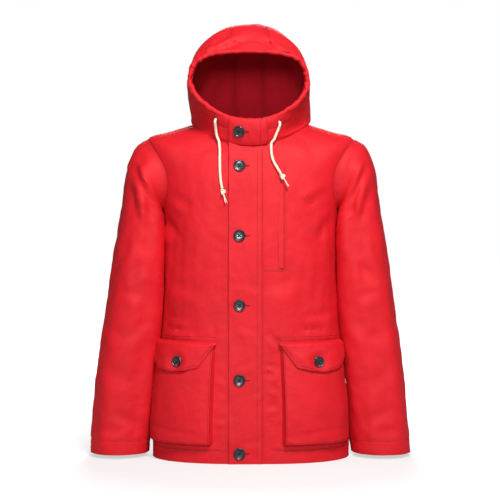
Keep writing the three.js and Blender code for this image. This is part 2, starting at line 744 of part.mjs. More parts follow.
function cordPoints(name) {
  const { at, out } = eyeletFrame(name === "left" ? 1 : -1);
  const start = at.clone().addScaledVector(out, EYELET_LIFT + EYELET_THICKNESS + 0.3);
  const bend = at.clone().addScaledVector(out, 5.2).add(new THREE.Vector3(0, 0, -4));
  return [start, bend, ...CORD_ROUTES[name].map(([x, z, off]) => offFront(x, z, off))];
}

function addDrawcord() {
  const middleOff = -SHELL - (CASING_CLEAR + CASING_DEPTH) / 2;
  const from = throatTurn(FRONT_CENTRE + EYELET_SIDE) - 360;
  const to = throatTurn(FRONT_CENTRE - EYELET_SIDE);
  const hidden = [];
  const count = 40;
  for (let i = 0; i <= count; i++) {
    const turn = from + ((to - from) * i) / count;
    hidden.push(rimBand(turn, CASING_WIDTH / 2, middleOff));
  }
  addMesh("drawcord_inside", tube(hidden, cordRadius, 44, 8), cordCream);
  for (const name of ["left", "right"]) {
    const points = cordPoints(name);
    addMesh("drawcord_" + name, tube(points, cordRadius, 16, 8), cordCream);
    const end = points[points.length - 1];
    const along = end.clone().sub(points[points.length - 2]).normalize();
    const neck = TAIL_RADIUS + 0.5;
    const profile = [
      [0, 0],
      [cordRadius + 0.4, 0],
      [KNOT_RADIUS, KNOT_LENGTH * 0.3],
      [KNOT_RADIUS * 0.9, KNOT_LENGTH * 0.62],
      [neck, KNOT_LENGTH],
      [TAIL_RADIUS, KNOT_LENGTH + TAIL_LENGTH],
      [0, KNOT_LENGTH + TAIL_LENGTH],
    ];
    const base = end.clone().addScaledVector(along, 0.3);
    addMesh("knot_" + name, turned(profile, base, along, 12), cordCream);
  }
}

// ---------------------------------------------------------------- sleeves
// The outer and the inner outline of the left sleeve seen from the front, as x and height, from armhole to
// cuff, then the sleeve's half depth and how far it lies forward.
const UNDERARM_X = CHEST_HALF_WIDTH;
const SLEEVE_COLUMNS = 16;
const SLEEVE_ROWS = 10;
const CUFF_RUN = 80; // between the last two stations of a sleeve
const LINING_START = 0.42; // share of the sleeve at which its lining starts
const LINING_END = 0.975;
const [S, U, A, D] = [SHOULDER_HALF_WIDTH, UNDERARM_X, UNDERARM_HEIGHT, SLEEVE_HALF_DEPTH];
const SLEEVE_STATIONS = [
  [S - 58, SHOULDER_HEIGHT - 2, U - 24, A + 3, ARMHOLE_HALF_DEPTH - 2, 0],
  [S - 10, SHOULDER_HEIGHT + 4, U + 1, A + 2, ARMHOLE_HALF_DEPTH, 0],
  [S + 17, SHOULDER_HEIGHT - 8, U + 5, A - 1, D - 1, 0],
  [S + 34, SHOULDER_HEIGHT - 36, U + 8, A - 7, D, 0],
  [S + 45, SHOULDER_HEIGHT - 76, U + 9, A - 20, D, 0],
  [S + 54, A + 10, U + 10, A - 46, D - 2, -1],
  [S + 70, A - 90, U + 15, A - 116, D - 5, -3],
  [S + 86, WAIST_HEIGHT + 20, U + 21, WAIST_HEIGHT + 6, D - 9, -6],
  [CUFF_OUTER - 18, WAIST_HEIGHT - 98, CUFF_INNER - 12, WAIST_HEIGHT - 104, CUFF_HALF_DEPTH + 6, -9],
  [CUFF_OUTER - 7, CUFF_HEIGHT + 88, CUFF_INNER - 6, CUFF_HEIGHT + 84, CUFF_HALF_DEPTH + 2, -11],
  [CUFF_OUTER, CUFF_HEIGHT, CUFF_INNER, CUFF_HEIGHT, CUFF_HALF_DEPTH, -SLEEVE_FORWARD],
];

function sleevePoint(side, turn, along) {
  const [outX, outZ, inX, inZ, depth, shift] = alongStations(SLEEVE_STATIONS, along);
  const c = Math.cos(turn * DEG);
  const s = Math.sin(turn * DEG);
  return new THREE.Vector3(
    side * ((outX + inX) / 2 + ((outX - inX) / 2) * s),
    shift + depth * c,
    (outZ + inZ) / 2 + ((outZ - inZ) / 2) * s,
  );
}

function sleeveMiddle(side, along) {
  const [outX, outZ, inX, inZ, , shift] = alongStations(SLEEVE_STATIONS, along);
  return new THREE.Vector3((side * (outX + inX)) / 2, shift, (outZ + inZ) / 2);
}

function sleeveTube(side, from, to) {
  const way = (t) => from + (to - from) * t;
  return withOffset(
    (s, t) => sleevePoint(side, s * 360, way(t)),
    (t) => sleeveMiddle(side, way(t)),
  );
}

function addSleeve(side, name) {
  const whole = toSolid(cloth(sleeveTube(side, 0, 1), SLEEVE_COLUMNS, SLEEVE_ROWS, -SHELL, 0, true));
  addMesh("sleeve_" + name, toGeometry(mainBody(whole.subtract(bodyFilled))), red);
  const inside = sleeveTube(side, LINING_START, LINING_END);
  const lining = cloth(inside, SLEEVE_COLUMNS, 5, -LINING_DEPTH, LINING - LINING_DEPTH, true);
  addMesh("sleeve_lining_" + name, lining, liningRed);
  const share = CUFF_FACING / (CUFF_RUN * (SLEEVE_STATIONS.length - 1));
  const facing = sleeveTube(side, 1 - share, 0.998);
  const cuff = cloth(facing, SLEEVE_COLUMNS, 1, -FACING_DEPTH - LINING, -FACING_DEPTH, true);
  addMesh("cuff_facing_" + name, cuff, red);
}

// ---------------------------------------------------------------- pockets
// The turn of a point that lies a share of the pocket's width from its inner edge.
function pocketTurns(side) {
  const height = (POCKET_BOTTOM + POCKET_MOUTH) / 2;
  const start = turnAt(FRONT_CENTRE + side * POCKET_INNER, height);
  const towards = side > 0 ? -1 : 1;
  const steps = [{ turn: start, length: 0 }];
  while (steps[steps.length - 1].length < POCKET_WIDTH + 20) {
    const last = steps[steps.length - 1];
    const turn = last.turn + towards;
    const length = last.length + onBody(turn, height, 0).distanceTo(onBody(last.turn, height, 0));
    steps.push({ turn, length });
  }
  return (share) => {
    const target = share * POCKET_WIDTH;
    if (target <= 0) return start + (towards * target) / steps[1].length;
    const k = steps.findIndex((step) => step.length >= target);
    const [a, b] = [steps[k - 1], steps[k]];
    return a.turn + ((b.turn - a.turn) * (target - a.length)) / (b.length - a.length);
  };
}

const POCKET_COLUMNS = 10;
const FLAP_COLUMNS = 12;

// How far the flap hangs below its seam, at a share of its width.
function flapDrop(share) {
  const s = Math.min(share, 1 - share);
  if (s < FLAP_SHOULDER) return FLAP_END_DROP + ((FLAP_SHOULDER_DROP - FLAP_END_DROP) * s) / FLAP_SHOULDER;
  const f = (s - FLAP_SHOULDER) / (0.5 - FLAP_SHOULDER);
  return FLAP_SHOULDER_DROP + (FLAP_MIDDLE_DROP - FLAP_SHOULDER_DROP) * Math.sin((f * Math.PI) / 2);
}

// How far the pocket's face stands off the front: less at the mouth.
function pocketStand(height) {
  const full = THREE.MathUtils.clamp((POCKET_MOUTH - height) / POCKET_TAPER, 0, 1);
  return POCKET_MOUTH_DEPTH + (POCKET_DEPTH - POCKET_MOUTH_DEPTH) * Math.sin((full * Math.PI) / 2);
}

// A block over part of the pocket, between two heights off the cloth that may change from top to bottom.
function pocketBlock(turnOf, share0, share1, low, high, under, over) {
  const block = (s, t, upper) => {
    const height = low + (high - low) * t;
    return onBody(turnOf(share0 + (share1 - share0) * s), height, upper ? over(height) : under(height));
  };
  return toSolid(cloth(block, POCKET_COLUMNS, 4, 0, 1));
}

function addPocket(side, name) {
  const turnOf = pocketTurns(side);
  const edge = GUSSET / POCKET_WIDTH;
  const under = () => LAYER_GAP;
  const faceBack = (height) => pocketStand(height) - SHELL;
  const around = pocketBlock(turnOf, 0, 1, POCKET_BOTTOM, POCKET_MOUTH, under, (h) => faceBack(h) - CLEAR);
  const low = POCKET_BOTTOM + GUSSET;
  const past = (height) => pocketStand(height) + 9;
  const room = pocketBlock(turnOf, edge, 1 - edge, low, POCKET_MOUTH + 9, () => -3, past);
  addMesh("pocket_gusset_" + name, toGeometry(mainBody(around.subtract(room))), red);
  const face = pocketBlock(turnOf, 0, 1, POCKET_BOTTOM, POCKET_MOUTH, faceBack, pocketStand);
  addMesh("pocket_front_" + name, toGeometry(face), red);
  addFlap(name, turnOf);
}

function addFlap(name, turnOf) {
  const over = FLAP_OVERHANG / POCKET_WIDTH;
  const rolled = 2; // rows in the roll
  const rows = 5;
  const stand = (height) => {
    const roll = Math.sin(Math.min(1, (FLAP_SEAM - height) / FLAP_ROLL) * 90 * DEG);
    return FLAP_SEAM_CLEAR + (pocketStand(height) + FLAP_CLEAR - FLAP_SEAM_CLEAR) * roll;
  };
  const flap = (s, t, offset) => {
    const row = t * rows;
    const below = (flapDrop(s) - FLAP_ROLL) * (row - rolled) / (rows - rolled);
    const height = FLAP_SEAM - (row <= rolled ? (FLAP_ROLL * row) / rolled : FLAP_ROLL + below);
    return onBody(turnOf(-over + (1 + 2 * over) * s), height, stand(height) + offset);
  };
  let solid = toSolid(cloth(flap, FLAP_COLUMNS, rows, 0, FLAP_THICKNESS));
  const height = FLAP_SEAM - POCKET_BUTTON_DROP;
  const middle = onBody(turnOf(0.5), height, 0);
  const normal = onBody(turnOf(0.5), height, 10).sub(middle).normalize();
  solid = solid.subtract(slot(middle, normal, new THREE.Vector3(0, 0, 1), BUTTONHOLE_SHIFT));
  addMesh("pocket_flap_" + name, toGeometry(solid), red);
  const anchor = middle.clone().addScaledVector(normal, pocketStand(height) + 0.3);
  addButton("pocket_button_" + name, anchor, normal, FLAP_CLEAR + FLAP_THICKNESS + SHANK_GAP - 0.3);
}

// A buttonhole's slit: a bar through the cloth, longer on one side of the button than on the other.
function slot(at, normal, along, shift) {
  const geometry = new THREE.BoxGeometry(BUTTONHOLE_WIDTH, BUTTONHOLE_LENGTH, 90);
  const across = new THREE.Vector3().crossVectors(along, normal).normalize();
  const up = new THREE.Vector3().crossVectors(normal, across);
  geometry.applyMatrix4(new THREE.Matrix4().makeBasis(across, up, normal));
  const centre = at.clone().addScaledVector(along, shift);
  geometry.translate(centre.x, centre.y, centre.z);
  return toSolid(geometry);
}

// ---------------------------------------------------------------- buttons
// A four-hole button on its thread. at is on the cloth that it is sewn to, and rise is from there to its
// back.
function addButton(name, at, out, rise) {
  const r = BUTTON_RADIUS;
  const h = BUTTON_THICKNESS;
  const profile = [
    [0, 0],
    [r * 0.78, 0],
    [r, h * 0.6],
    [r * 0.92, h],
    [r * 0.72, h * 0.6],
    [0, h * 0.55],
  ];
  const back = at.clone().addScaledVector(out, rise);
  let disc = toSolid(turned(profile, back, out, 14));
  const frame = new THREE.Matrix4().lookAt(out, new THREE.Vector3(), new THREE.Vector3(0, 0, 1));
  const right = new THREE.Vector3().setFromMatrixColumn(frame, 0);
  const up = new THREE.Vector3().setFromMatrixColumn(frame, 1);
  const half = BUTTON_HOLE_PITCH / 2;
  for (const [a, b] of [[1, 1], [-1, 1], [-1, -1], [1, -1]]) {
    const corner = back.clone().addScaledVector(right, a * half).addScaledVector(up, b * half);
    disc = disc.subtract(rod(BUTTON_HOLE_RADIUS * 1.2, -2, h + 2, corner, out, 4));
  }
  addMesh(name, toGeometry(disc), buttonBlack);
  addThread(name + "_thread", at, out, right, rise);
}

// The thread: a wound shank behind the button, and a stitch through each pair of holes.
function addThread(name, at, out, right, rise) {
  const w = BUTTON_HOLE_RADIUS / 2; // half a leg's width
  const half = BUTTON_HOLE_PITCH / 2;
  const foot = rise - 1;
  const top = rise + BUTTON_THICKNESS * 0.55 + 1;
  const up = new THREE.Vector3().crossVectors(out, right);
  const stitch = new THREE.Shape();
  const outline = [
    [-half - w, foot],
    [half + w, foot],
    [half + w, top],
    [-half - w, top],
  ];
  outline.forEach(([x, y], i) => stitch[i ? "lineTo" : "moveTo"](x, y));
  const window = new THREE.Path();
  const inside = [
    [-half + w, foot + 0.7],
    [-half + w, top - 0.8],
    [half - w, top - 0.8],
    [half - w, foot + 0.7],
  ];
  inside.forEach(([x, y], i) => window[i ? "lineTo" : "moveTo"](x, y));
  stitch.holes.push(window);
  let thread = rod(SHANK_RADIUS, 0, foot + 0.4, at, out, 6);
  for (const x of [-half, half]) {
    const geometry = new THREE.ExtrudeGeometry(stitch, { depth: 2 * w, bevelEnabled: false });
    geometry.translate(0, 0, x - w);
    geometry.applyMatrix4(new THREE.Matrix4().makeBasis(up, out, right));
    geometry.translate(at.x, at.y, at.z);
    thread = thread.add(toSolid(geometry));
  }
  const bridge = new THREE.BoxGeometry(2 * half, 2 * w, 0.6);
  bridge.applyMatrix4(new THREE.Matrix4().makeBasis(right, up, out));
  const centre = at.clone().addScaledVector(out, foot + 0.35);
  bridge.translate(centre.x, centre.y, centre.z);
  addMesh(name, toGeometry(thread.add(toSolid(bridge))), threadBlack);
}

// ---------------------------------------------------------------- placket and throat tab
const placketIn = LAYER_GAP;
const placketOut = placketIn + PLACKET_THICKNESS;
const buttonX = FRONT_CENTRE + BUTTON_LINE;

function placketButtonHeights() {
  const heights = [LOWEST_BUTTON];
  for (const step of BUTTON_STEPS) heights.push(heights[heights.length - 1] + step);
  return heights;
}

function addPlacket() {
  const top = THROAT_HEIGHT - PLACKET_TOP_GAP;
  let placket = frontStrip(placketFree, placketSewn - CLEAR, 0.8, top, placketIn, placketOut, 4);
  placketButtonHeights().forEach((height, i) => {
    const at = onFront(buttonX, height, 0);
    const out = onFront(buttonX, height, 10).sub(at).normalize();
    const along = new THREE.Vector3(1, 0, 0);
    placket = placket.subtract(slot(at, out, along, BUTTONHOLE_SHIFT));
    const foot = at.clone().addScaledVector(out, 0.3);
    addButton("front_button_" + (i + 1), foot, out, placketOut + SHANK_GAP - 0.3);
  });
  addMesh("storm_placket", toGeometry(placket), red);
}

// The throat tab lies on the front of the hood, from just under the rim to just above the neck seam.
function addThroatTab() {
  const x0 = placketFree + 1;
  const x1 = FRONT_CENTRE + TAB_SEWN_SIDE;
  const surface = (s, t, offset) => {
    const turn = throatTurn(x0 + (x1 - x0) * s);
    const far = runToNeck(turn) - TAB_SEAM_GAP;
    return hoodTube(turn / 360, wayAfter(turn, TAB_RIM_GAP + (far - TAB_RIM_GAP) * t), offset);
  };
  const back = TAB_CLEAR;
  const face = TAB_CLEAR + PLACKET_THICKNESS;
  let tab = toSolid(cloth(surface, 6, 5, back, face));
  const turn = throatTurn(buttonX);
  const way = wayAfter(turn, TAB_RIM_GAP + THROAT_BUTTON_DROP);
  const at = hoodTube(turn / 360, way, 0);
  const out = hoodTube(turn / 360, way, 10).sub(at).normalize();
  tab = tab.subtract(slot(at, out, new THREE.Vector3(1, 0, 0), BUTTONHOLE_SHIFT));
  addMesh("throat_tab", toGeometry(tab), red);
  addButton("throat_button", at.clone().addScaledVector(out, 0.3), out, face + SHANK_GAP - 0.3);
}

// ---------------------------------------------------------------- chest pocket, neck tape and hanging loop
function addChestPocket() {
  const mouth = FRONT_CENTRE + CHEST_POCKET_LINE;
  const welt = frontStrip(mouth - WELT_WIDTH, mouth, CHEST_POCKET_LOW, CHEST_POCKET_HIGH, 0.4, 2, 2);
  addMesh("chest_pocket_welt", toGeometry(welt), red);
  const low = riseAt(90, CHEST_POCKET_LOW - 24);
  const high = riseAt(90, CHEST_POCKET_HIGH - 22);
  const box = frontBox(mouth - 5, mouth + CHEST_BAG_WIDTH);
  const outer = -FACING_DEPTH;
  addMesh("chest_pocket_bag", bodyPatch(low, high, outer - LINING, outer, ...box), liningRed);
}

function addNeckTape() {
  const top = NAPE_HEIGHT - 5;
  const back = [
    new THREE.Vector3(-NECK_HALF_WIDTH, 40, top - NECK_TAPE),
    new THREE.Vector3(NECK_HALF_WIDTH, FAR, top),
  ];
  const outer = -FACING_DEPTH;
  addMesh("neck_tape", bodyPatch(0.875, 1, outer - LINING, outer, ...back), red);
}

// A sewn loop of tape inside the nape to hang the jacket by.
function addHangingLoop() {
  const turn = 270 + Math.asin(LOOP_LENGTH / 2 / NECK_HALF_WIDTH) / DEG;
  const at = onBody(turn, NAPE_HEIGHT - 16, -LINING_DEPTH - 2.6);
  const half = LOOP_LENGTH / 2;
  const loop = (s, t, offset) => {
    const u = 2 * s - 1;
    const sag = LOOP_SAG * (1 - u * u);
    const stand = 0.6 + 2 * (1 - u * u);
    return new THREE.Vector3(u * half, at.y - stand - offset, at.z - sag + LOOP_WIDTH * (t - 0.5));
  };
  addMesh("hanging_loop", cloth(loop, 8, 1, 0, 1.2), red);
}

// ---------------------------------------------------------------- assembly
addBodyPanels();
addFacings();
addHood();
addDrawcord();
addSleeve(1, "left");
addSleeve(-1, "right");
addPocket(1, "left");
addPocket(-1, "right");
addPlacket();
addThroatTab();
addChestPocket();
addNeckTape();
addHangingLoop();

export default jacket;
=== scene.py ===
"""Looks of a hooded foul weather jacket in coated cotton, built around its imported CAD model."""
import json
import math

import bmesh
import bpy
import numpy as np
from mathutils import Matrix, Vector
from mathutils.bvhtree import BVHTree

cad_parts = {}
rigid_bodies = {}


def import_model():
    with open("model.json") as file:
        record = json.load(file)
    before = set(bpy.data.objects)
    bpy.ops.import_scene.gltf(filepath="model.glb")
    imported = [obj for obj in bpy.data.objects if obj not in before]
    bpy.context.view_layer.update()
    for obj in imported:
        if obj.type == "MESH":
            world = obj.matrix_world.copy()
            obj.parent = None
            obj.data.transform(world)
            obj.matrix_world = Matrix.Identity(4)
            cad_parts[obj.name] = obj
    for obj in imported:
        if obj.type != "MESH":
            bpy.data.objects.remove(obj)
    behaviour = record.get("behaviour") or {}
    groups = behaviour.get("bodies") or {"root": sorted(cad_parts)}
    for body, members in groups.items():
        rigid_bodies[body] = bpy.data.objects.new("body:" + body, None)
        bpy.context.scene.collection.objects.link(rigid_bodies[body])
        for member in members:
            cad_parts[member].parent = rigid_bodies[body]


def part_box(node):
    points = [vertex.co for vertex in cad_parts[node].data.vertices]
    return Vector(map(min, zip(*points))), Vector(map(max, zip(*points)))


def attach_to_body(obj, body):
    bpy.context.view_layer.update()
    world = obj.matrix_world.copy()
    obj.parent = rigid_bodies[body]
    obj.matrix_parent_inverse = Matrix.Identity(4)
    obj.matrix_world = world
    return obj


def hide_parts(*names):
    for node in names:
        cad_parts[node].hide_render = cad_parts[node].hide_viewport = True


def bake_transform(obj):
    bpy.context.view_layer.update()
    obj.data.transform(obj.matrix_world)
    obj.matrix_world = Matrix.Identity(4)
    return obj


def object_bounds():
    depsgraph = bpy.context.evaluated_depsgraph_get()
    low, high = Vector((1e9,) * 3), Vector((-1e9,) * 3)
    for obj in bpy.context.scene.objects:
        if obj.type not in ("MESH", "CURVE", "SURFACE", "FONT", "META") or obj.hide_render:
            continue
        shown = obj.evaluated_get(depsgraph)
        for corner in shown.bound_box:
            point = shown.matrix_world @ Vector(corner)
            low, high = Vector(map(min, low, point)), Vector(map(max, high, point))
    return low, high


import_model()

CAD_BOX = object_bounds()
MM = 0.001  # the shapes below are worked out in millimetres


def new_object(name, data):
    """A new object at the origin, in the scene."""
    made = bpy.data.objects.new(name, data)
    bpy.context.scene.collection.objects.link(made)
    return made


# ---------------------------------------------------------------- camera
def add_camera():
    data = bpy.data.cameras.new("camera")
    data.sensor_width = 36
    data.lens = 80.2  # 1.1 m of the jacket's plane across the picture
    camera = new_object("camera", data)
    camera.location = (-0.001, -2.45, 0.447)
    camera.rotation_euler = (math.pi / 2, 0, 0)
    bpy.context.scene.camera = camera


# ---------------------------------------------------------------- materials
def linear(code):
    """An sRGB hex colour as linear numbers."""
    channels = [int(code[i:i + 2], 16) / 255 for i in (1, 3, 5)]
    return tuple(c / 12.92 if c <= 0.04045 else ((c + 0.055) / 1.055) ** 2.4 for c in channels) + (1.0,)


def add_node(tree, kind, inputs=None, **settings):
    """A node with its settings, and its inputs as values or as other nodes' outputs."""
    node = tree.nodes.new(kind)
    for key, value in settings.items():
        setattr(node, key, value)
    for key, value in (inputs or {}).items():
        if isinstance(value, bpy.types.NodeSocket):
            tree.links.new(value, node.inputs[key])
        else:
            node.inputs[key].default_value = value
    return node


def wave_scale(period):
    """The scale that gives a wave texture this period in millimetres, on coordinates in metres."""
    return math.tau / 20 / (period * MM)


def noise_scale(size):
    """The scale that gives a noise texture spots of about this size in millimetres."""
    return 1 / (size * MM)


def new_finish(name):
    material = bpy.data.materials.new(name)
    material.use_nodes = True
    tree = material.node_tree
    return material, tree, tree.nodes["Principled BSDF"]


def woven(name, main, shade, weave, roughness, sheen):
    """Cloth with a diagonal twill, threads that vary in colour, a soft crumple from wear, and painted shade by its
    seams and edges.
    """
    material, tree, shader = new_finish(name)
    uv = add_node(tree, "ShaderNodeUVMap", uv_map="cloth").outputs["UV"]
    at = add_node(tree, "ShaderNodeTexCoord").outputs["Object"]
    twill = add_node(tree, "ShaderNodeTexWave", {"Vector": uv, "Scale": wave_scale(weave), "Distortion": 0.6,
                                                 "Detail": 1.0}, bands_direction="DIAGONAL")
    across = add_node(tree, "ShaderNodeTexWave", {"Vector": uv, "Scale": wave_scale(weave * 0.7), "Distortion": 0.4},
                      bands_direction="X")
    slub = add_node(tree, "ShaderNodeTexNoise", {"Vector": uv, "Scale": noise_scale(weave * 3), "Detail": 3.0})
    cloud = add_node(tree, "ShaderNodeTexNoise", {"Vector": at, "Scale": noise_scale(70), "Detail": 4.0,
                                                  "Roughness": 0.6})
    crumple = add_node(tree, "ShaderNodeTexNoise", {"Vector": at, "Scale": noise_scale(17), "Detail": 5.0,
                                                    "Roughness": 0.62})
    threads = add_node(tree, "ShaderNodeMix", {0: 0.5, 2: twill.outputs["Fac"], 3: across.outputs["Fac"]})
    grain = add_node(tree, "ShaderNodeMix", {0: 0.45, 2: threads.outputs[0], 3: slub.outputs["Fac"]})
    tone = add_node(tree, "ShaderNodeMix", {0: 0.5, 2: grain.outputs[0], 3: cloud.outputs["Fac"]})
    ramp = add_node(tree, "ShaderNodeValToRGB", {"Fac": tone.outputs[0]})
    ramp.color_ramp.elements[0].position = 0.3
    ramp.color_ramp.elements[0].color = linear(shade)
    ramp.color_ramp.elements[1].position = 0.62
    ramp.color_ramp.elements[1].color = linear(main)
    # Painted shade: where the seam value is high, by seams and edges, the colour goes over to the darker shade
    # colour, as in the shaded ditch of a seam.
    seam = add_node(tree, "ShaderNodeAttribute", attribute_name="seam").outputs["Fac"]
    seam_shaded_colour = add_node(tree, "ShaderNodeMix", {0: seam, 6: ramp.outputs["Color"], 7: linear(shade)}, data_type="RGBA")
    weave_bump = add_node(tree, "ShaderNodeBump", {"Height": grain.outputs[0], "Strength": 0.5,
                                                   "Distance": 0.25 * MM})
    crumple_bump = add_node(tree, "ShaderNodeBump", {"Height": crumple.outputs["Fac"], "Strength": 0.55,
                                                     "Distance": 1.6 * MM, "Normal": weave_bump.outputs["Normal"]})
    tree.links.new(seam_shaded_colour.outputs[2], shader.inputs["Base Color"])
    tree.links.new(crumple_bump.outputs["Normal"], shader.inputs["Normal"])
    shader.inputs["Roughness"].default_value = roughness
    shader.inputs["IOR"].default_value = 1.47
    shader.inputs["Specular IOR Level"].default_value = 0.35
    shader.inputs["Sheen Weight"].default_value = sheen
    shader.inputs["Sheen Roughness"].default_value = 0.5
    shader.inputs["Sheen Tint"].default_value = linear(main)
    return material


def braided(name, main, shade):
    """Cotton cord: plaited strands in two directions, as ridges on the cord's own map."""
    material, tree, shader = new_finish(name)
    uv = add_node(tree, "ShaderNodeUVMap", uv_map="cloth").outputs["UV"]
    # Strands 1.6 mm wide, about as a 16-plait cord of this thickness has.
    one = add_node(tree, "ShaderNodeTexWave", {"Vector": uv, "Scale": wave_scale(1.6)}, bands_direction="DIAGONAL")
    turned = add_node(tree, "ShaderNodeMapping", {"Vector": uv, "Scale": (-1.0, 1.0, 1.0)})
    two = add_node(tree, "ShaderNodeTexWave", {"Vector": turned.outputs["Vector"], "Scale": wave_scale(1.6)},
                   bands_direction="DIAGONAL")
    plait = add_node(tree, "ShaderNodeMath", {0: one.outputs["Fac"], 1: two.outputs["Fac"]}, operation="MAXIMUM")
    fuzz = add_node(tree, "ShaderNodeTexNoise", {"Vector": uv, "Scale": noise_scale(1.2), "Detail": 3.0})
    tone = add_node(tree, "ShaderNodeMix", {0: 0.35, 2: plait.outputs[0], 3: fuzz.outputs["Fac"]})
    ramp = add_node(tree, "ShaderNodeValToRGB", {"Fac": tone.outputs[0]})
    ramp.color_ramp.elements[0].position = 0.2
    ramp.color_ramp.elements[0].color = linear(shade)
    ramp.color_ramp.elements[1].position = 0.75
    ramp.color_ramp.elements[1].color = linear(main)
    bump = add_node(tree, "ShaderNodeBump", {"Height": tone.outputs[0], "Strength": 0.8, "Distance": 0.5 * MM})
    tree.links.new(ramp.outputs["Color"], shader.inputs["Base Color"])
    tree.links.new(bump.outputs["Normal"], shader.inputs["Normal"])
    shader.inputs["Roughness"].default_value = 0.85
    shader.inputs["IOR"].default_value = 1.5
    shader.inputs["Sheen Weight"].default_value = 0.25
    return material


def plain(name, main, shade, size, roughness, bump_depth, metallic=0.0, coat=0.0):
    """A hard or spun finish: a main colour clouded with a darker one, and a fine relief."""
    material, tree, shader = new_finish(name)
    at = add_node(tree, "ShaderNodeTexCoord").outputs["Object"]
    cloud = add_node(tree, "ShaderNodeTexNoise", {"Vector": at, "Scale": noise_scale(size), "Detail": 4.0})
    ramp = add_node(tree, "ShaderNodeValToRGB", {"Fac": cloud.outputs["Fac"]})
    ramp.color_ramp.elements[0].position = 0.35
    ramp.color_ramp.elements[0].color = linear(shade)
    ramp.color_ramp.elements[1].position = 0.65
    ramp.color_ramp.elements[1].color = linear(main)
    fine = add_node(tree, "ShaderNodeTexNoise", {"Vector": at, "Scale": noise_scale(size * 0.2), "Detail": 2.0})
    bump = add_node(tree, "ShaderNodeBump", {"Height": fine.outputs["Fac"], "Strength": 0.4,
                                             "Distance": bump_depth * MM})
    tree.links.new(ramp.outputs["Color"], shader.inputs["Base Color"])
    tree.links.new(bump.outputs["Normal"], shader.inputs["Normal"])
    shader.inputs["Roughness"].default_value = roughness
    shader.inputs["Metallic"].default_value = metallic
    shader.inputs["Coat Weight"].default_value = coat
    shader.inputs["Coat Roughness"].default_value = 0.15
    return material


# Coated cotton twill, dyed red. The coating fills the weave, so it is matt with a faint sheen. Its real ribs are
# 0.6 mm apart, and they are drawn at 1.4 mm so that they show.
SHELL = woven("coated_cotton_twill", "#dd1322", "#c40b1a", 1.4, 0.66, 0.03)
# Brushed cotton lining in a deeper red, softer and duller than the shell, with ribs drawn at 1.6 mm.
LINING = woven("brushed_cotton_lining", "#d0142a", "#b00c20", 1.6, 0.92, 0.05)
# Undyed cotton drawcord, plaited, with a soft fuzz.
CORD = braided("plaited_cotton_cord", "#f6efd8", "#cdc09c")
# Polished horn-look resin: near black, clouded with a blue grey, with a clear surface.
BUTTON = plain("polished_dark_horn", "#33383d", "#15181b", 9, 0.3, 0.05, coat=0.35)
# Spun polyester sewing thread, near black on the buttons and dark red in the seams.
BUTTON_THREAD = plain("spun_thread_black", "#191614", "#0b0a09", 0.8, 0.7, 0.1)
SEAM_THREAD = plain("spun_thread_red", "#8e0c18", "#760812", 1.0, 0.7, 0.1)
# Brass that has dulled to a brown grey, stamped and rolled.
BRASS = plain("antique_brass", "#8f7c56", "#5e4f34", 4, 0.38, 0.04, metallic=1.0)


# ---------------------------------------------------------------- meshes
def build(name, points, faces, finish, corners=None, seam=None, sharp=50):
    """A mesh piece from points in millimetres, with a map in metres and how much painted seam shade each point has.
    """
    mesh = bpy.data.meshes.new(name)
    mesh.from_pydata((np.asarray(points) * MM).tolist(), [], np.asarray(faces).tolist())
    mesh.validate()
    uv = mesh.uv_layers.new(name="cloth")
    if corners is not None:
        uv.data.foreach_set("uv", (np.asarray(corners).reshape(-1, 2) * MM).astype(np.float32).ravel())
    # The seam value darkens the cloth's colour as painted shade.
    seam_shade = mesh.attributes.new("seam", "FLOAT", "POINT")
    if seam is not None:
        seam_shade.data.foreach_set("value", np.asarray(seam, np.float32).ravel())
    mesh.polygons.foreach_set("use_smooth", [True] * len(mesh.polygons))
    mesh.materials.append(finish)
    mesh.set_sharp_from_angle(angle=math.radians(sharp))
    return new_object(name, mesh)


def volume(points, faces):
    a, b, c, d = (points[faces[:, k]] for k in range(4))
    first = np.einsum("ij,ij->i", a, np.cross(b, c))
    return (first + np.einsum("ij,ij->i", a, np.cross(c, d))).sum()


def slab(name, outer, inner, finish, wrap=False, seam=None, sharp=50):
    """Cloth between two grids of points, closed round its edges. With wrap, the columns run once round."""
    n, m = outer.shape[:2]
    points = np.concatenate([outer.reshape(-1, 3), inner.reshape(-1, 3)])
    spans = n if wrap else n - 1
    i, j = (k.ravel() for k in np.meshgrid(np.arange(spans), np.arange(m - 1), indexing="ij"))
    ring = np.arange(spans)
    last = np.full(spans, m - 1)
    step = np.linalg.norm(np.diff(outer, axis=0), axis=2).mean(1)
    u = np.concatenate([[0], np.cumsum(step), [step.sum() + step.mean()]])
    v = np.concatenate([[0], np.cumsum(np.linalg.norm(np.diff(outer, axis=1), axis=2).mean(0))])

    def corner(layer, a, b):
        return layer * n * m + (a % n) * m + b, np.stack([u[a], v[b] + layer * 3], -1)

    def strip(*four):
        made = [corner(*c) for c in four]
        return np.stack([c[0] for c in made], 1), np.stack([c[1] for c in made], 1)

    parts = [
        strip((0, i, j), (0, i + 1, j), (0, i + 1, j + 1), (0, i, j + 1)),
        strip((1, i, j), (1, i, j + 1), (1, i + 1, j + 1), (1, i + 1, j)),
        strip((0, ring, 0 * ring), (1, ring, 0 * ring), (1, ring + 1, 0 * ring), (0, ring + 1, 0 * ring)),
        strip((0, ring, last), (0, ring + 1, last), (1, ring + 1, last), (1, ring, last)),
    ]
    if not wrap:
        side = np.arange(m - 1)
        end = np.full(m - 1, n - 1)
        parts.append(strip((0, 0 * side, side), (0, 0 * side, side + 1),
                           (1, 0 * side, side + 1), (1, 0 * side, side)))
        parts.append(strip((0, end, side), (1, end, side), (1, end, side + 1), (0, end, side + 1)))
    faces = np.concatenate([p[0] for p in parts])
    corners = np.concatenate([p[1] for p in parts])
    if volume(points - points.mean(0), faces) < 0:
        faces = faces[:, ::-1]
        corners = corners[:, ::-1]
    # The seam value is painted shade, the same on both faces of the cloth.
    seam_shade = None if seam is None else np.concatenate([seam.ravel(), seam.ravel()])
    return build(name, points, faces, finish, corners, seam_shade, sharp)


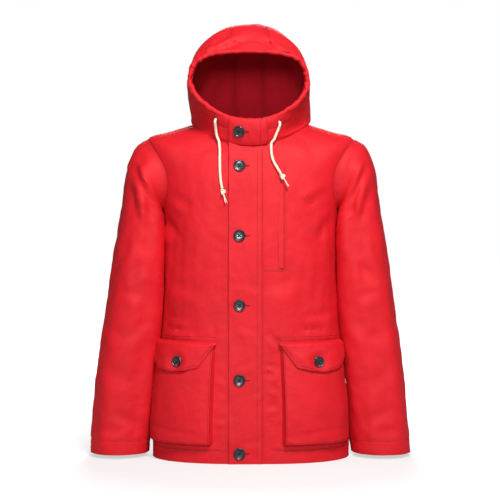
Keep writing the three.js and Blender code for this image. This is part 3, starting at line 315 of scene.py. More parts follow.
def tube(name, path, radii, finish, sides=14, around=None):
    """A round tube along a path, closed at both ends. radii is one for each point of the path."""
    path = np.asarray(path, float)
    radii = np.broadcast_to(np.asarray(radii, float), len(path))
    along = np.gradient(path, axis=0)
    along /= np.linalg.norm(along, axis=1)[:, None]
    side = np.cross(along[0], around if around is not None else (0.31, 0.9, 0.17))
    rings = []
    for point, way, radius in zip(path, along, radii):
        side = side - way * side.dot(way)
        side /= np.linalg.norm(side)
        other = np.cross(way, side)
        a = np.arange(sides) * math.tau / sides
        rings.append(point + radius * (np.outer(np.cos(a), side) + np.outer(np.sin(a), other)))
    points = np.concatenate([np.concatenate(rings), path[:1], path[-1:]])
    count = len(path)
    run = run_along(path)
    faces, corners = [], []
    width = math.tau * float(radii.mean())
    for k in range(count - 1):
        for s in range(sides):
            t = (s + 1) % sides
            faces.append((k * sides + s, k * sides + t, (k + 1) * sides + t, (k + 1) * sides + s))
            low, high = width * s / sides, width * (s + 1) / sides
            corners += [(low, run[k]), (high, run[k]), (high, run[k + 1]), (low, run[k + 1])]
    for s in range(sides):
        t = (s + 1) % sides
        base = (count - 1) * sides
        faces.append((count * sides, t, s))
        faces.append((count * sides + 1, base + s, base + t))
        corners += [(0, 0), (width / sides, 0), (0, 1), (0, run[-1]), (0, run[-1] + 1), (width / sides, run[-1])]
    mesh = bpy.data.meshes.new(name)
    mesh.from_pydata((points * MM).tolist(), [], faces)
    uv = mesh.uv_layers.new(name="cloth")
    uv.data.foreach_set("uv", (np.array(corners) * MM).astype(np.float32).ravel())
    mesh.attributes.new("seam", "FLOAT", "POINT")
    mesh.polygons.foreach_set("use_smooth", [True] * len(mesh.polygons))
    mesh.materials.append(finish)
    return new_object(name, mesh)


def smooth_path(points, spacing):
    """A smooth line through points, with a point at every spacing."""
    points = np.asarray(points, float)
    ends = np.concatenate([[2 * points[0] - points[1]], points, [2 * points[-1] - points[-2]]])
    fine = []
    for k in range(len(points) - 1):
        p, q, r, v = ends[k:k + 4]
        for f in np.arange(0, 1, 0.05):
            fine.append(0.5 * (2 * q + (r - p) * f + (2 * p - 5 * q + 4 * r - v) * f ** 2
                               + (3 * q - p - 3 * r + v) * f ** 3))
    fine.append(points[-1])
    fine = np.array(fine)
    run = run_along(fine)
    count = max(2, int(round(run[-1] / spacing)) + 1)
    at = np.linspace(0, run[-1], count)
    return np.stack([np.interp(at, run, fine[:, k]) for k in range(3)], 1)


def turned(name, profile, finish, at, out, segments=40, cutters=()):
    """A turned solid from (radius, height) pairs, set on a point with its axis along out."""
    n = len(profile)
    radius = np.array([p[0] for p in profile], float)
    height = np.array([p[1] for p in profile], float)
    a = np.arange(segments) * math.tau / segments
    grid = np.stack([np.outer(np.cos(a), radius), np.outer(np.sin(a), radius), np.tile(height, (segments, 1))], -1)
    points = grid.reshape(-1, 3)
    i, j = (k.ravel() for k in np.meshgrid(np.arange(segments), np.arange(n - 1), indexing="ij"))
    faces = np.stack([i * n + j, (i + 1) % segments * n + j, (i + 1) % segments * n + j + 1, i * n + j + 1], 1)
    piece = build(name, points, faces, finish, sharp=35)
    shape = bmesh.new()
    shape.from_mesh(piece.data)
    bmesh.ops.remove_doubles(shape, verts=shape.verts, dist=1e-6)
    bmesh.ops.recalc_face_normals(shape, faces=shape.faces)
    shape.to_mesh(piece.data)
    shape.free()
    for cutter in cutters:
        cut(piece, cutter)
    place = Vector((0, 0, 1)).rotation_difference(Vector(out)).to_matrix().to_4x4()
    piece.data.transform(Matrix.Translation(Vector(at) * MM) @ place)
    return piece


def bake(piece):
    """Turns the piece's modifiers into its plain mesh."""
    graph = bpy.context.evaluated_depsgraph_get()
    mesh = bpy.data.meshes.new_from_object(piece.evaluated_get(graph), depsgraph=graph)
    piece.modifiers.clear()
    old = piece.data
    piece.data = mesh
    mesh.name = piece.name
    bpy.data.meshes.remove(old)
    return piece


def cut(piece, cutter):
    """Takes one closed shape away from another."""
    modifier = piece.modifiers.new("cut", "BOOLEAN")
    modifier.operation = "DIFFERENCE"
    modifier.solver = "EXACT"
    modifier.object = cutter
    bpy.context.view_layer.update()
    bake(piece)


def discard(piece):
    bpy.data.objects.remove(piece, do_unlink=True)


def waves(u, v, seed, size_u, size_v, count=16):
    """A smooth random relief from -1 to 1, with swells of about these sizes along u and v."""
    chance = np.random.default_rng(seed)
    total = np.zeros(np.broadcast(u, v).shape)
    for _ in range(count):
        ku, kv = math.tau / size_u * chance.normal(0, 0.7), math.tau / size_v * chance.normal(0, 0.7)
        total += np.cos(ku * u + kv * v + chance.uniform(0, math.tau))
    return total / math.sqrt(count / 2) / 1.6


def bell(distance, width):
    """1 where the distance is 0, falling softly to 0 a few widths away."""
    return np.exp(-(distance / width) ** 2)


def eased(share):
    """A share from 0 to 1 that starts and ends gently."""
    return share * share * (3 - 2 * share)


def run_along(line):
    """How far along a line of points each one is, from 0."""
    return np.concatenate([[0], np.cumsum(np.linalg.norm(np.diff(line, axis=0), axis=1))])


# ---------------------------------------------------------------- the jacket's surfaces
def along_stations(stations, t):
    """Numbers that change smoothly from station to station, as t goes from 0 to 1."""
    table = np.array(stations, float)
    last = len(table) - 1
    place = np.clip(t, 0, 1) * last
    k = np.minimum(place.astype(int), last - 1)
    f = (place - k)[..., None]
    p, q, r, v = (table[np.clip(k + d, 0, last)] for d in (-1, 0, 1, 2))
    m0, m1 = (r - p) / 2, (v - q) / 2
    return (2 * f ** 3 - 3 * f ** 2 + 1) * q + (f ** 3 - 2 * f ** 2 + f) * m0 + (3 * f ** 2 - 2 * f ** 3) * r \
        + (f ** 3 - f ** 2) * m1


def power(value, exponent):
    return np.sign(value) * np.abs(value) ** exponent


# Height at the side, front and back, half width, depth before and behind, squareness, from hem to neck.
BODY = [[-1, -1, -1, 214, 126, 114, 2.5], [110, 110, 110, 213, 126, 114, 2.5], [300, 300, 300, 193, 120, 110, 2.5],
        [437, 437, 437, 189, 122, 116, 2.5], [527, 527, 527, 190, 120, 118, 2.5], [606, 592, 612, 208, 117, 120, 2.5],
        [685, 628, 687, 228, 112, 114, 2.3], [706, 653, 720, 178, 108, 107, 2.1], [722, 666, 735, 128, 103, 96, 2]]
# Y and z of the top, middle and bottom, half width, squareness and follow, from the rim to the neck seam.
HOOD = [[-112, 867, -98, 806, -119, 721, 129, 3.0, 1], [-64, 929, -62, 815, -121, 712, 132, 2.25, 1],
        [10, 946, -15, 800, -120, 702, 133, 2.1, 1], [94, 904, 14, 775, -117, 692, 132, 2.1, 1.1],
        [128, 824, 22, 748, -113, 682, 131, 2, 1.3], [118, 770, 14, 732, -109, 674, 131, 2, 1.6],
        [96, 735, 0, 722, -103, 666, 128, 2, 2]]
# X and z of the outer and inner edge, half depth, shift in y, from the armhole to the cuff.
# The inner edge is drawn inside the body, and beside_body() then lays it against the body's side.
SLEEVE = [[170, 683, 166, 530, 74, 0], [219, 691, 189, 529, 76, 0], [247, 676, 190, 526, 79, 0],
          [263, 647, 186, 520, 80, 0], [273, 606, 182, 507, 80, 0], [282, 533, 178, 481, 78, -1],
          [298, 437, 178, 411, 75, -3], [314, 320, 184, 306, 71, -6], [331, 202, 199, 196, 66, -9],
          [342, 96, 211, 92, 62, -11], [349, 8, 222, 8, 60, -12]]
INSIDE_TOP = 640  # above this height, out is away from one point on the body's middle line
ARMHOLE = 606  # height of the armholes' middle
NECK, NECK_DROP, NECK_HALF_WIDTH = 722, 56, 128  # the neck seam's height, its drop in front, and its half width
SIDES = ((1, "left"), (-1, "right"))
FRONT_CENTRE = -6
CLOSING = 23  # the fronts meet here, under the placket


def body_point(turn, rise):
    side, front, back, width, fore, aft, square = np.moveaxis(along_stations(BODY, rise), -1, 0)
    c, s = np.cos(np.radians(turn)), np.sin(np.radians(turn))
    end = np.where(s > 0, front, back)
    return np.stack([width * power(c, 2 / square), -np.where(s > 0, fore, aft) * power(s, 2 / square),
                     side + (end - side) * s * s], -1)


def hood_point(turn, way):
    top_y, top_z, mid_y, mid_z, low_y, low_z, width, square, follow = np.moveaxis(along_stations(HOOD, way), -1, 0)
    c, s = np.cos(np.radians(turn)), np.sin(np.radians(turn))
    n = np.where(s > 0, square, 2)
    rise = np.abs(s) ** (2 / n)
    end_y, end_z = np.where(s > 0, top_y, low_y), np.where(s > 0, top_z, low_z)
    z = mid_z + (end_z - mid_z) * rise ** follow + 0.9 * way
    # The crown draws in a little above the face, and the whole hood leans a little to the wearer's right.
    over = np.maximum(z - 806, 0)
    drawn = 1 - 0.05 * np.clip(over / 25, 0, 1) * (0.3 + 0.7 * np.clip(way / 0.12, 0, 1))
    lean = 4 * np.clip((z - 745) / 60, 0, 1)
    return np.stack([width * power(c, 2 / n) * drawn - lean, mid_y + (end_y - mid_y) * rise,
                     z - 0.045 * over * np.clip(way / 0.12, 0, 1)], -1)


def sleeve_point(side, turn, along):
    out_x, out_z, in_x, in_z, depth, shift = np.moveaxis(along_stations(SLEEVE, along), -1, 0)
    c, s = np.cos(np.radians(turn)), np.sin(np.radians(turn))
    return np.stack([side * ((out_x + in_x) / 2 + (out_x - in_x) / 2 * s), shift + depth * c,
                     (out_z + in_z) / 2 + (out_z - in_z) / 2 * s], -1)


def beside_body(points, side, gap):
    """Sleeve points moved out of the body's side, to lie this far off it."""
    rise = np.interp(points[..., 2], [-1, 110, 300, 437, 527], np.arange(5) / 8)
    numbers = along_stations(BODY, rise)
    deep = np.where(points[..., 1] < 0, numbers[..., 4], numbers[..., 5])
    share = np.clip(np.abs(points[..., 1]) / deep, 0, 1)
    edge = numbers[..., 3] * (1 - share ** numbers[..., 6]) ** (1 / numbers[..., 6]) + gap
    # It lets go of the body just below the underarm, where the two are sewn together.
    held = np.clip((527 - points[..., 2]) / 25, 0, 1)
    x = side * points[..., 0]
    over = np.maximum(edge - x, 0) * held
    points = points.copy()
    points[..., 0] = side * (x + over)
    return points


def bisect(function, target, low, high):
    """Where a rising function of one number reaches each target."""
    low = np.full(np.shape(target), float(low))
    high = np.full(np.shape(target), float(high))
    for _ in range(28):
        middle = (low + high) / 2
        below = function(middle) < target
        low, high = np.where(below, middle, low), np.where(below, high, middle)
    return (low + high) / 2


def normals(point, a, b, inside):
    """The outward normals of a surface of two numbers, and its points."""
    step = 1e-3
    here = point(a, b)
    along_a = point(a + step, b) - point(a - step, b)
    along_b = point(a, b + step) - point(a, b - step)
    normal = np.cross(along_a, along_b)
    normal /= np.maximum(np.linalg.norm(normal, axis=-1), 1e-12)[..., None]
    facing = np.einsum("...k,...k->...", normal, here - inside)
    return here, np.where(facing[..., None] < 0, -normal, normal)


def body_frame(turn, rise):
    """Points on the body by turn and rise, and the directions out of it."""
    inside = np.stack([0 * turn, 0 * turn, np.minimum(body_point(turn, rise)[..., 2], INSIDE_TOP)], -1)
    return normals(body_point, turn, rise, inside)


def on_body(turn, height, offset=0.0):
    """Points on the body by turn and height, this far out from the cloth."""
    turn, height = np.broadcast_arrays(np.asarray(turn, float), np.asarray(height, float))

    def point(a, b):
        return body_point(a, bisect(lambda rise: body_point(a, rise)[..., 2], b, 0, 1))

    inside = np.stack([0 * height, 0 * height, np.minimum(height, INSIDE_TOP)], -1)
    here, out = normals(point, turn, height, inside)
    return here + out * np.asarray(offset, float)[..., None]


def front_turn(x, rise):
    """The turn at which the front reaches x."""
    numbers = along_stations(BODY, rise)
    share = np.clip(x / numbers[..., 3], -1, 1)
    return np.degrees(np.arccos(power(share, numbers[..., 6] / 2)))


def on_front(x, height, offset=0.0):
    """Points on the front by x and height."""
    x, height = np.broadcast_arrays(np.asarray(x, float), np.asarray(height, float))
    rise = bisect(lambda r: body_point(front_turn(x, r), r)[..., 2], height, 0, 1)
    return on_body(front_turn(x, rise), height, offset)


def hood_frame(turn, way):
    """Points on the hood by turn and way, and the directions out of it."""
    inside = np.stack([0 * way, -40 + 40 * way, 806 - 70 * way], -1)
    return normals(hood_point, turn, way, inside)


def on_hood(turn, way, offset=0.0):
    here, out = hood_frame(turn, way)
    return here + out * np.asarray(offset, float)[..., None]


def hood_way(x, height):
    """The turn and way at which the hood's throat reaches x and a height."""
    def turn_at(way):
        return 270 + np.degrees(np.arcsin(x / along_stations(HOOD, way)[..., 6]))

    way = bisect(lambda w: -hood_point(turn_at(w), w)[..., 2], -height, 0, 1)
    return turn_at(way), way


def neck_seam(x):
    """The height of the neck seam in front."""
    return NECK - NECK_DROP * (1 - (x / NECK_HALF_WIDTH) ** 2)


def off_front(x, height, offset):
    """A point off the front: on the hood above the neck seam, and on the body below it."""
    if height <= neck_seam(x):
        return on_front(x, height, offset)
    return on_hood(*hood_way(np.array(x, float), np.array(height, float)), offset)


def crease(points, table, face=-1):
    """How far cloth moves out for creases seen from the front: x, z of both ends, width and depth in mm.
    A crease is a valley with a soft ridge on one side. face is -1 for the front and 1 for the back."""
    out = np.zeros(points.shape[:-1])
    flat = points[..., [0, 2]]
    for x0, z0, x1, z1, width, depth in table:
        start = np.array([x0, z0], float)
        way = np.array([x1 - x0, z1 - z0], float)
        length = np.hypot(*way)
        to = flat - start
        u = to @ way / length ** 2
        off = (to[..., 0] * way[1] - to[..., 1] * way[0]) / length
        taper = eased(np.clip(np.minimum(u, 1 - u) * 3.2 + 0.12, 0, 1))
        out -= depth * taper * (bell(off, width) - 0.75 * np.exp(-((off - 1.9 * width) / width / 1.2) ** 2))
    reach = np.clip(points[..., 1] * face / 45, 0, 1)
    return out * reach


def seam_shade_grid(n, m, left=0, right=0, low=0, high=0):
    """A grid of painted shade for seams and edges, 1 on the chosen edges and fading over the next two rows."""
    seam_shade = np.zeros((n, m))
    fade = [1, 0.5, 0.15]
    for k, f in enumerate(fade):
        if left:
            seam_shade[k] = np.maximum(seam_shade[k], f * left)
        if right:
            seam_shade[-1 - k] = np.maximum(seam_shade[-1 - k], f * right)
        if low:
            seam_shade[:, k] = np.maximum(seam_shade[:, k], f * low)
        if high:
            seam_shade[:, -1 - k] = np.maximum(seam_shade[:, -1 - k], f * high)
    return seam_shade


# ---------------------------------------------------------------- drawcord
CORD_DIAMETER = 5.5
EYELETS = {"left": ((59.9, -110.2, 717.2), (0.37, -0.851, -0.373)),
           "right": ((-72, -106.8, 723), (-0.475, -0.73, -0.492))}
CORD_ROUTES = {
    "right": [[-69.5, 704, 6], [-68, 690, 6], [-66, 673, 6.5], [-64, 656, 6.5], [-64, 639, 6], [-63.8, 622, 5.5],
              [-63, 604, 5.5], [-61, 586, 5.5], [-58.5, 575, 6]],
    "left": [[56.5, 705, 6], [52, 694, 6], [47, 682, 6.5], [43.8, 669, 6.5], [43, 655, 6.5], [45, 641, 6],
             [50, 628, 6], [56.5, 617, 6], [63, 606, 6.5]],
}


def add_cord(name):
    at, out = (np.array(v) for v in EYELETS[name])
    route = [at + 2.0 * out, at + 5.2 * out + np.array([0, 0, -4])]
    route += [off_front(x, z, off) for x, z, off in CORD_ROUTES[name]]
    path = smooth_path(route, 3)
    cord = tube("cord_" + name, path, CORD_DIAMETER / 2, CORD, 20)
    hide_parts("drawcord_" + name)
    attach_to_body(cord, "torso")
    knot = add_knot(name, path)


def add_knot(name, path):
    """An overhand knot pulled tight, and the frayed end below it."""
    end = path[-1]
    down = path[-1] - path[-3]
    down /= np.linalg.norm(down)
    side = np.cross(down, (0, -1, 0))
    side /= np.linalg.norm(side)
    deep = np.cross(side, down)
    t = np.linspace(0.35, math.tau - 0.35, 64)
    lobe = np.stack([(np.sin(t) + 2 * np.sin(2 * t)) * 1.75, (np.cos(t) - 2 * np.cos(2 * t)) * 1.3,
                     -np.sin(3 * t) * 1.9], 1)
    middle = end + down * 7
    loops = middle + lobe[:, :1] * down + lobe[:, 1:2] * side + lobe[:, 2:] * deep
    knot = tube("knot", smooth_path(loops, 1.0), 2.35, CORD, 14)
    parts = [knot]
    chance = np.random.default_rng(5 if name == "left" else 8)
    for k in range(9):
        lean = chance.normal(0, 0.07, 2)
        start = end + down * 11
        ways = [start + side * chance.normal(0, 0.5) + deep * chance.normal(0, 0.4)]
        for step in range(1, 6):
            far = step * 4.2
            ways.append(start + down * far + side * (lean[0] * far + 0.3 * math.sin(far + k)) + deep * lean[1] * far)
        path_k = smooth_path(ways, 1.5)
        taper = np.linspace(0.75, 0.22, len(path_k))
        parts.append(tube("strand", path_k, taper, CORD, 6))
    joined = join(parts, "knotted_end_" + name)
    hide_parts("knot_" + name)
    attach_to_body(joined, "torso")
    return joined


def join(parts, name):
    """Several pieces as one."""
    shape = bmesh.new()
    for part in parts:
        shape.from_mesh(part.data)
    mesh = bpy.data.meshes.new(name)
    shape.to_mesh(mesh)
    shape.free()
    for finish in parts[0].data.materials:
        mesh.materials.append(finish)
    for part in parts:
        discard(part)
    return new_object(name, mesh)


add_camera()
for cord_name in ("left", "right"):
    add_cord(cord_name)


# ---------------------------------------------------------------- helpers for cloth panels
SHELL_CLOTH = 1.2  # thickness of the coated cloth


def even(curve, count, low=0.0, high=1.0):
    """Numbers from low to high at even steps along a curve."""
    t = np.linspace(low, high, 400)
    run = run_along(curve(t))
    return np.interp(np.linspace(0, run[-1], count), run, t)


def rise_at(height):
    """The rise of a row that has this height on the front's middle."""
    return float(bisect(lambda r: body_point(np.full(np.shape(r), 90.0), r)[..., 2], np.array(float(height)), 0, 1))


def near_armhole(points):
    """0 at an armhole's edge and inside it, rising to 1 at 45 mm away."""
    reach = np.hypot(points[..., 1] / 76, (points[..., 2] - ARMHOLE) / 79)
    beside = np.clip((np.abs(points[..., 0]) - 95) / 40, 0, 1)
    return 1 - beside * (1 - np.clip((reach - 1) * 77 / 45, 0, 1))


def bar(side, half_y, half_z, near=95, far=420):
    """An oval bar through an armhole, to cut it with."""
    a = np.arange(40) * math.tau / 40
    rings = [np.stack([np.full(40, side * x), half_y * np.cos(a), ARMHOLE + half_z * np.sin(a)], 1)
             for x in (near, far)]
    points = np.concatenate(rings)
    faces = [(k, (k + 1) % 40, 40 + (k + 1) % 40, 40 + k) for k in range(40)]
    faces += [tuple(range(40)), tuple(range(79, 39, -1))]
    mesh = bpy.data.meshes.new("armhole_bar")
    mesh.from_pydata((points * MM).tolist(), [], faces)
    shape = bmesh.new()
    shape.from_mesh(mesh)
    bmesh.ops.recalc_face_normals(shape, faces=shape.faces)
    shape.to_mesh(mesh)
    shape.free()
    return new_object("armhole_bar", mesh)


def open_armholes(piece, sides, half_y, half_z):
    for side in sides:
        cutter = bar(side, half_y, half_z)
        cut(piece, cutter)
        discard(cutter)


def on_torso(piece, node):
    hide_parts(node)
    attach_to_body(piece, "torso")
    return piece


# ---------------------------------------------------------------- body of the jacket
# Creases seen from the front: x and z of both ends, width and depth.
FRONT_CREASES = [
    [-182.1, 572.8, -121.8, 536.1, 9, 1.6], [-184.7, 520.4, -150.7, 465.3, 10, 1.8],
    [174.4, 578.1, 114.1, 538.7, 9, 1.6], [174.4, 520.4, 140.3, 468, 10, 1.4],
    [-106.1, 677.7, -64.2, 646.2, 8, 1], [114.1, 693.4, 145.5, 625.2, 12, 1.2],
    [-163.8, 693.4, -132.3, 625.2, 12, 1.2], [-184.7, 281.9, -111.4, 274, 6, 1.4],
    [-182.1, 300.2, -127.1, 305.5, 7, 1], [103.6, 284.5, 171.7, 272.9, 6, 1.4],
    [114.1, 305.5, 177, 313.3, 7, 1], [31.2, 274, 67.9, 243.6, 5, 1.8], [31.2, 206.9, 61.7, 196.4, 4, 1.8],
    [31.2, 184.9, 59, 189.1, 4, 1.4], [43.3, 163.9, 61.7, 145, 4, 1.6], [29.1, 116.7, 56.4, 122, 5, 1.2],
    [30.2, 96.8, 44.9, 74.8, 4, 1.6], [-72, 184.9, -47.4, 170.2, 4, 1.3], [-72, 142.9, -48.4, 148.2, 4, 1.2],
    [-74.7, 90.5, -47.4, 95.8, 5, 1.3], [-22.2, 368.4, 114.1, 378.8, 14, 0.8],
    [-184.7, 378.8, -85.1, 357.9, 14, 0.8], [-200.5, 53.8, -137.6, 43.3, 6, 1.2],
    [135, 43.3, 198, 53.8, 6, 1.2],
]
BACK_CREASES = [
    [-150, 560, -95, 500, 11, 2.2], [-150, 500, -85, 430, 12, 1.8], [150, 560, 95, 500, 11, 2.2],
    [150, 500, 85, 430, 12, 1.8], [-120, 690, -30, 660, 12, 1.2], [120, 690, 30, 660, 12, 1.2],
    [-150, 320, -20, 300, 13, 1.6], [150, 335, 40, 305, 13, 1.6], [-60, 245, 90, 262, 14, 1.2],
    [-165, 120, -120, 210, 12, 1.3], [165, 130, 120, 220, 12, 1.3], [-20, 620, -8, 440, 16, 1.1],
]


def torso_relief(points, turn):
    """How far the body's cloth moves out for creases and swells. Its edges and armholes stay where they are."""
    u, v = turn * 3.1, points[..., 2]
    swell = 1.5 * waves(u, v, 11, 130, 210) + 0.7 * waves(u, v, 12, 46, 90) + 0.28 * waves(u, v, 13, 17, 26)
    fade = np.clip((NECK - v) / 60, 0, 1) * (0.35 + 0.65 * np.clip(v / 50, 0, 1))
    hem = 0.5 * waves(u, v * 0, 14, 13, 10, 20) * bell(v - 27, 9) - 0.7 * bell(v - 27, 2.2)
    folds = 2.4 * crease(points, FRONT_CREASES) + 2.4 * crease(points, BACK_CREASES, 1)
    # Short puckers run away from the stitched seams: beside the placket and above the pockets.
    x, front = points[..., 0], points[..., 1] < 0
    beside = bell(x - 30, 12) + bell(x + 50, 12)
    puckers = 0.8 * waves(v, 0 * v, 15, 17, 10) * beside + 0.5 * waves(v, 0 * v, 16, 9, 10) * beside
    above = bell(v - 276, 13) * (np.abs(x) > 44)
    puckers = (puckers + 0.8 * waves(x, 0 * x, 17, 15, 10) * above) * front
    crumple = 0.45 * waves(u, v, 18, 22, 15) + 0.3 * waves(u, v, 19, 11, 17)
    folds = folds + puckers + crumple * np.where(front, 0.8, 1)
    # It lies flat under the placket, which has its own folds.
    covered = np.clip((np.abs(points[..., 0] + 10) - 38) / 14, 0.1, 1)
    covered = np.where(points[..., 1] < 0, covered, 1)
    return (swell * fade + folds) * near_armhole(points) * covered + hem * np.where(covered < 0.5, 0.3, 1)


TORSO_GRIDS = {}


def body_panel(name, first, last, columns):
    """A panel of the body between two edges, each a function of the rise that gives its turn."""
    rises = list(even(lambda t: body_point(np.full(t.shape, 90.0), t), 106, rise_at(0.0), 1))
    rises += [rise_at(h) for h in (23.5, 25.5, 27, 28.5, 30.5, 3)]
    rises = np.array(sorted(rises))
    rises = rises[np.concatenate([[True], np.diff(rises) > 1e-4])]
    middle = 0.3
    shares = even(lambda s: body_point(first(middle) + (last(middle) - first(middle)) * s, np.full(s.shape, middle)),
                  columns)
    start, end = first(rises)[None, :], last(rises)[None, :]
    turn = start + (end - start) * shares[:, None]
    rise = np.broadcast_to(rises[None, :], turn.shape)
    here, out = body_frame(turn, rise)
    here[..., 2] = np.maximum(here[..., 2], 0)
    lift = torso_relief(here, turn)
    outer = here + out * lift[..., None]
    outer[..., 2] = np.maximum(outer[..., 2], 0)
    inner = outer - out * SHELL_CLOTH
    inner[..., 2] = np.maximum(inner[..., 2], 0)
    seam_shade = seam_shade_grid(*outer.shape[:2], 0.8, 0.8, 0.7, 0.9)
    piece = slab(name, outer, inner, SHELL, seam=seam_shade)
    TORSO_GRIDS[name] = outer
    return piece


def add_body():
    def side(turn):
        return lambda rise: np.full(np.shape(rise), float(turn))

    def closing(shift):
        return lambda rise: front_turn(CLOSING + shift, np.asarray(rise, float))

    panels = [("shell_front_left", "front_left_panel", side(0.1), closing(0.25), 52, (1,)),
              ("shell_front_right", "front_right_panel", closing(-0.25), side(179.9), 60, (-1,)),
              ("shell_back", "back_panel", side(180.1), side(359.9), 92, (-1, 1))]
    for name, node, first, last, columns, sides in panels:
        piece = body_panel(name, first, last, columns)
        open_armholes(piece, sides, 70, 73)
        on_torso(piece, node)


def body_band(name, node, finish, turns, heights, offset, thickness, relief=1.2):
    """A plainer layer inside the body: lining or facing, between two turns at each height."""
    n, m = turns.shape
    here = on_body(turns, heights, offset)
    inner = on_body(turns, heights, offset - thickness)
    move = (relief * waves(turns * 3.1, heights, 21, 60, 130))[..., None] * (inner - here) / thickness
    move[..., 2] = 0
    piece = slab(name, here + move, inner + move, finish, seam=seam_shade_grid(n, m, 0.5, 0.5, 0.6, 0.6))
    on_torso(piece, node)
    return piece


def rows_between(low, high, count, columns):
    return np.broadcast_to(np.linspace(low, high, count)[None, :], (columns, count))


def add_lining():
    for name, node, edges, sides in (("left", "lining_front_left", (55.5, 0), (1,)),
                                     ("right", "lining_front_right", (-9.5, 180), (-1,)),
                                     ("back", "lining_back", (180.2, 359.8), (-1, 1))):
        columns = 50 if name == "back" else 30
        # The lining follows the body's rises, so that its top runs along the neck seam.
        rises = np.linspace(rise_at(20), 0.985, 60)
        shares = np.linspace(0, 1, columns)[:, None]
        if name == "back":
            turn = edges[0] + (edges[1] - edges[0]) * shares + 0 * rises[None, :]
        else:
            start = front_turn(edges[0], rises)[None, :]
            turn = start + (edges[1] - start) * shares
        rise = np.broadcast_to(rises[None, :], turn.shape)
        here, out = body_frame(turn, rise)
        swell = 0.8 * waves(turn * 3.1, here[..., 2], 31, 40, 110) * near_armhole(here)
        outer = here + out * (swell - 4.6)[..., None]
        piece = slab("lining_" + name, outer, outer - out, LINING, seam=seam_shade_grid(*turn.shape, 0.6, 0.6, 0.8, 0.8))
        open_armholes(piece, sides, 77, 80)
        on_torso(piece, node)
    for name, x0, x1 in (("left", 23.6, 62.5), ("right", -16.5, 22.4)):
        rises = np.linspace(rise_at(1), 0.985, 70)
        x = np.linspace(x0, x1, 9)[:, None] + 0 * rises[None, :]
        rise = np.broadcast_to(rises[None, :], x.shape)
        turn = front_turn(x, rise)
        here, out = body_frame(turn, rise)
        outer = here - out * 2.5
        piece = slab("facing_" + name, outer, outer - out * 1.1, SHELL, seam=seam_shade_grid(*turn.shape, 0.7, 0.7))
        on_torso(piece, "front_facing_" + name)
    # The hem's facing runs all round, from one front facing to the other.
    start, end = float(front_turn(-18, np.array(0.03))), float(front_turn(64, np.array(0.03))) + 360
    turns = np.linspace(start, end, 170)[:, None] + np.zeros((1, 8))
    heights = rows_between(0.6, 27, 8, 170)
    body_band("facing_hem", "hem_facing", SHELL, turns % 360, heights, -2.5, 1.1, 0.0)


# ---------------------------------------------------------------- sleeves
SLEEVE_CREASES = [
    # On the wearer's left sleeve, as x and z. The right one has the same drape, mirrored, with its own swells.
    [256, 640, 214, 545, 7, 4.6], [270, 610, 230, 490, 9, 3.8], [246, 662, 212, 600, 5, 2.6],
    [216, 560, 222, 420, 10, 4.6], [236, 540, 246, 330, 13, 3.6], [262, 470, 300, 380, 10, 2.6],
    [222, 420, 292, 372, 12, 2.6], [224, 345, 280, 362, 10, 2.2], [226, 300, 262, 250, 12, 2.4],
    [250, 250, 318, 292, 14, 2.0], [240, 150, 320, 205, 16, 1.8], [236, 70, 300, 104, 11, 2.0],
    [258, 62, 330, 60, 9, 1.4],
]
SLEEVE_START = {}
SLEEVE_LENGTH = 690
CUFF_HEM = 8  # height of the cuffs' lower edges
ARM_GAP = 1.8  # the least room between a sleeve and the body's side


def torso_tree():
    """The body's plain surface, for finding where other pieces meet it."""
    turn, rise = np.meshgrid(np.arange(0, 360, 2.0), np.linspace(0, 1, 120), indexing="ij")
    points = body_point(turn, rise)
    n, m = turn.shape
    faces = [(i * m + j, (i + 1) % n * m + j, (i + 1) % n * m + j + 1, i * m + j + 1)
             for i in range(n) for j in range(m - 1)]
    return BVHTree.FromPolygons(points.reshape(-1, 3).tolist(), faces)


def sleeve_starts(side, turns, tree):
    """Where each line of the sleeve comes out of the body."""
    along = np.linspace(0.0, 0.3, 121)
    starts = []
    for turn in turns:
        line = sleeve_point(side, np.full(along.shape, turn), along)
        found = 0.06
        for k in range(len(line) - 1, 0, -1):
            way = Vector(line[k - 1] - line[k])
            if tree.ray_cast(Vector(line[k]), way.normalized(), way.length)[0] is not None:
                found = along[k]
                break
        starts.append(found)
    starts = np.array(starts)
    kernel = np.array([1, 2, 3, 2, 1]) / 9
    return sum(np.roll(starts, d - 2) * kernel[d] for d in range(5))


def blend_sleeve(piece):
    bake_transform(piece)
    return piece


def sleeve_folds(side, turn, run, here):
    """How far a sleeve's cloth moves out for its long folds and its creases."""
    # Long soft folds run down the sleeve, and are the same all round it where they meet.
    swell = sum(a * np.cos(k * np.radians(turn) + p + q * run / SLEEVE_LENGTH) for a, k, p, q in (
        (1.6, 2, 0.6 + side, 2.2), (1.8, 3, 1.9, -2.6), (1.7, 5, 4.1 + side, 1.7), (1.1, 8, 2.2, -3.9)))
    pinned = np.clip(run / 70, 0, 1) ** 1.3 * (0.35 + 0.65 * np.clip((SLEEVE_LENGTH - run) / 60, 0, 1))
    flat = here * np.array([side, 1, 1])
    folds = crease(flat, SLEEVE_CREASES) + 0.8 * crease(flat * np.array([1, -1, 1]), SLEEVE_CREASES)
    # By the armhole the cloth dips a little at the front and back, and goes on smoothly from the body's.
    dip = 0.45 * run * np.exp(-run / 17) * np.abs(np.cos(np.radians(turn)))
    return swell * pinned + folds * np.clip(run / 30, 0, 1) - dip


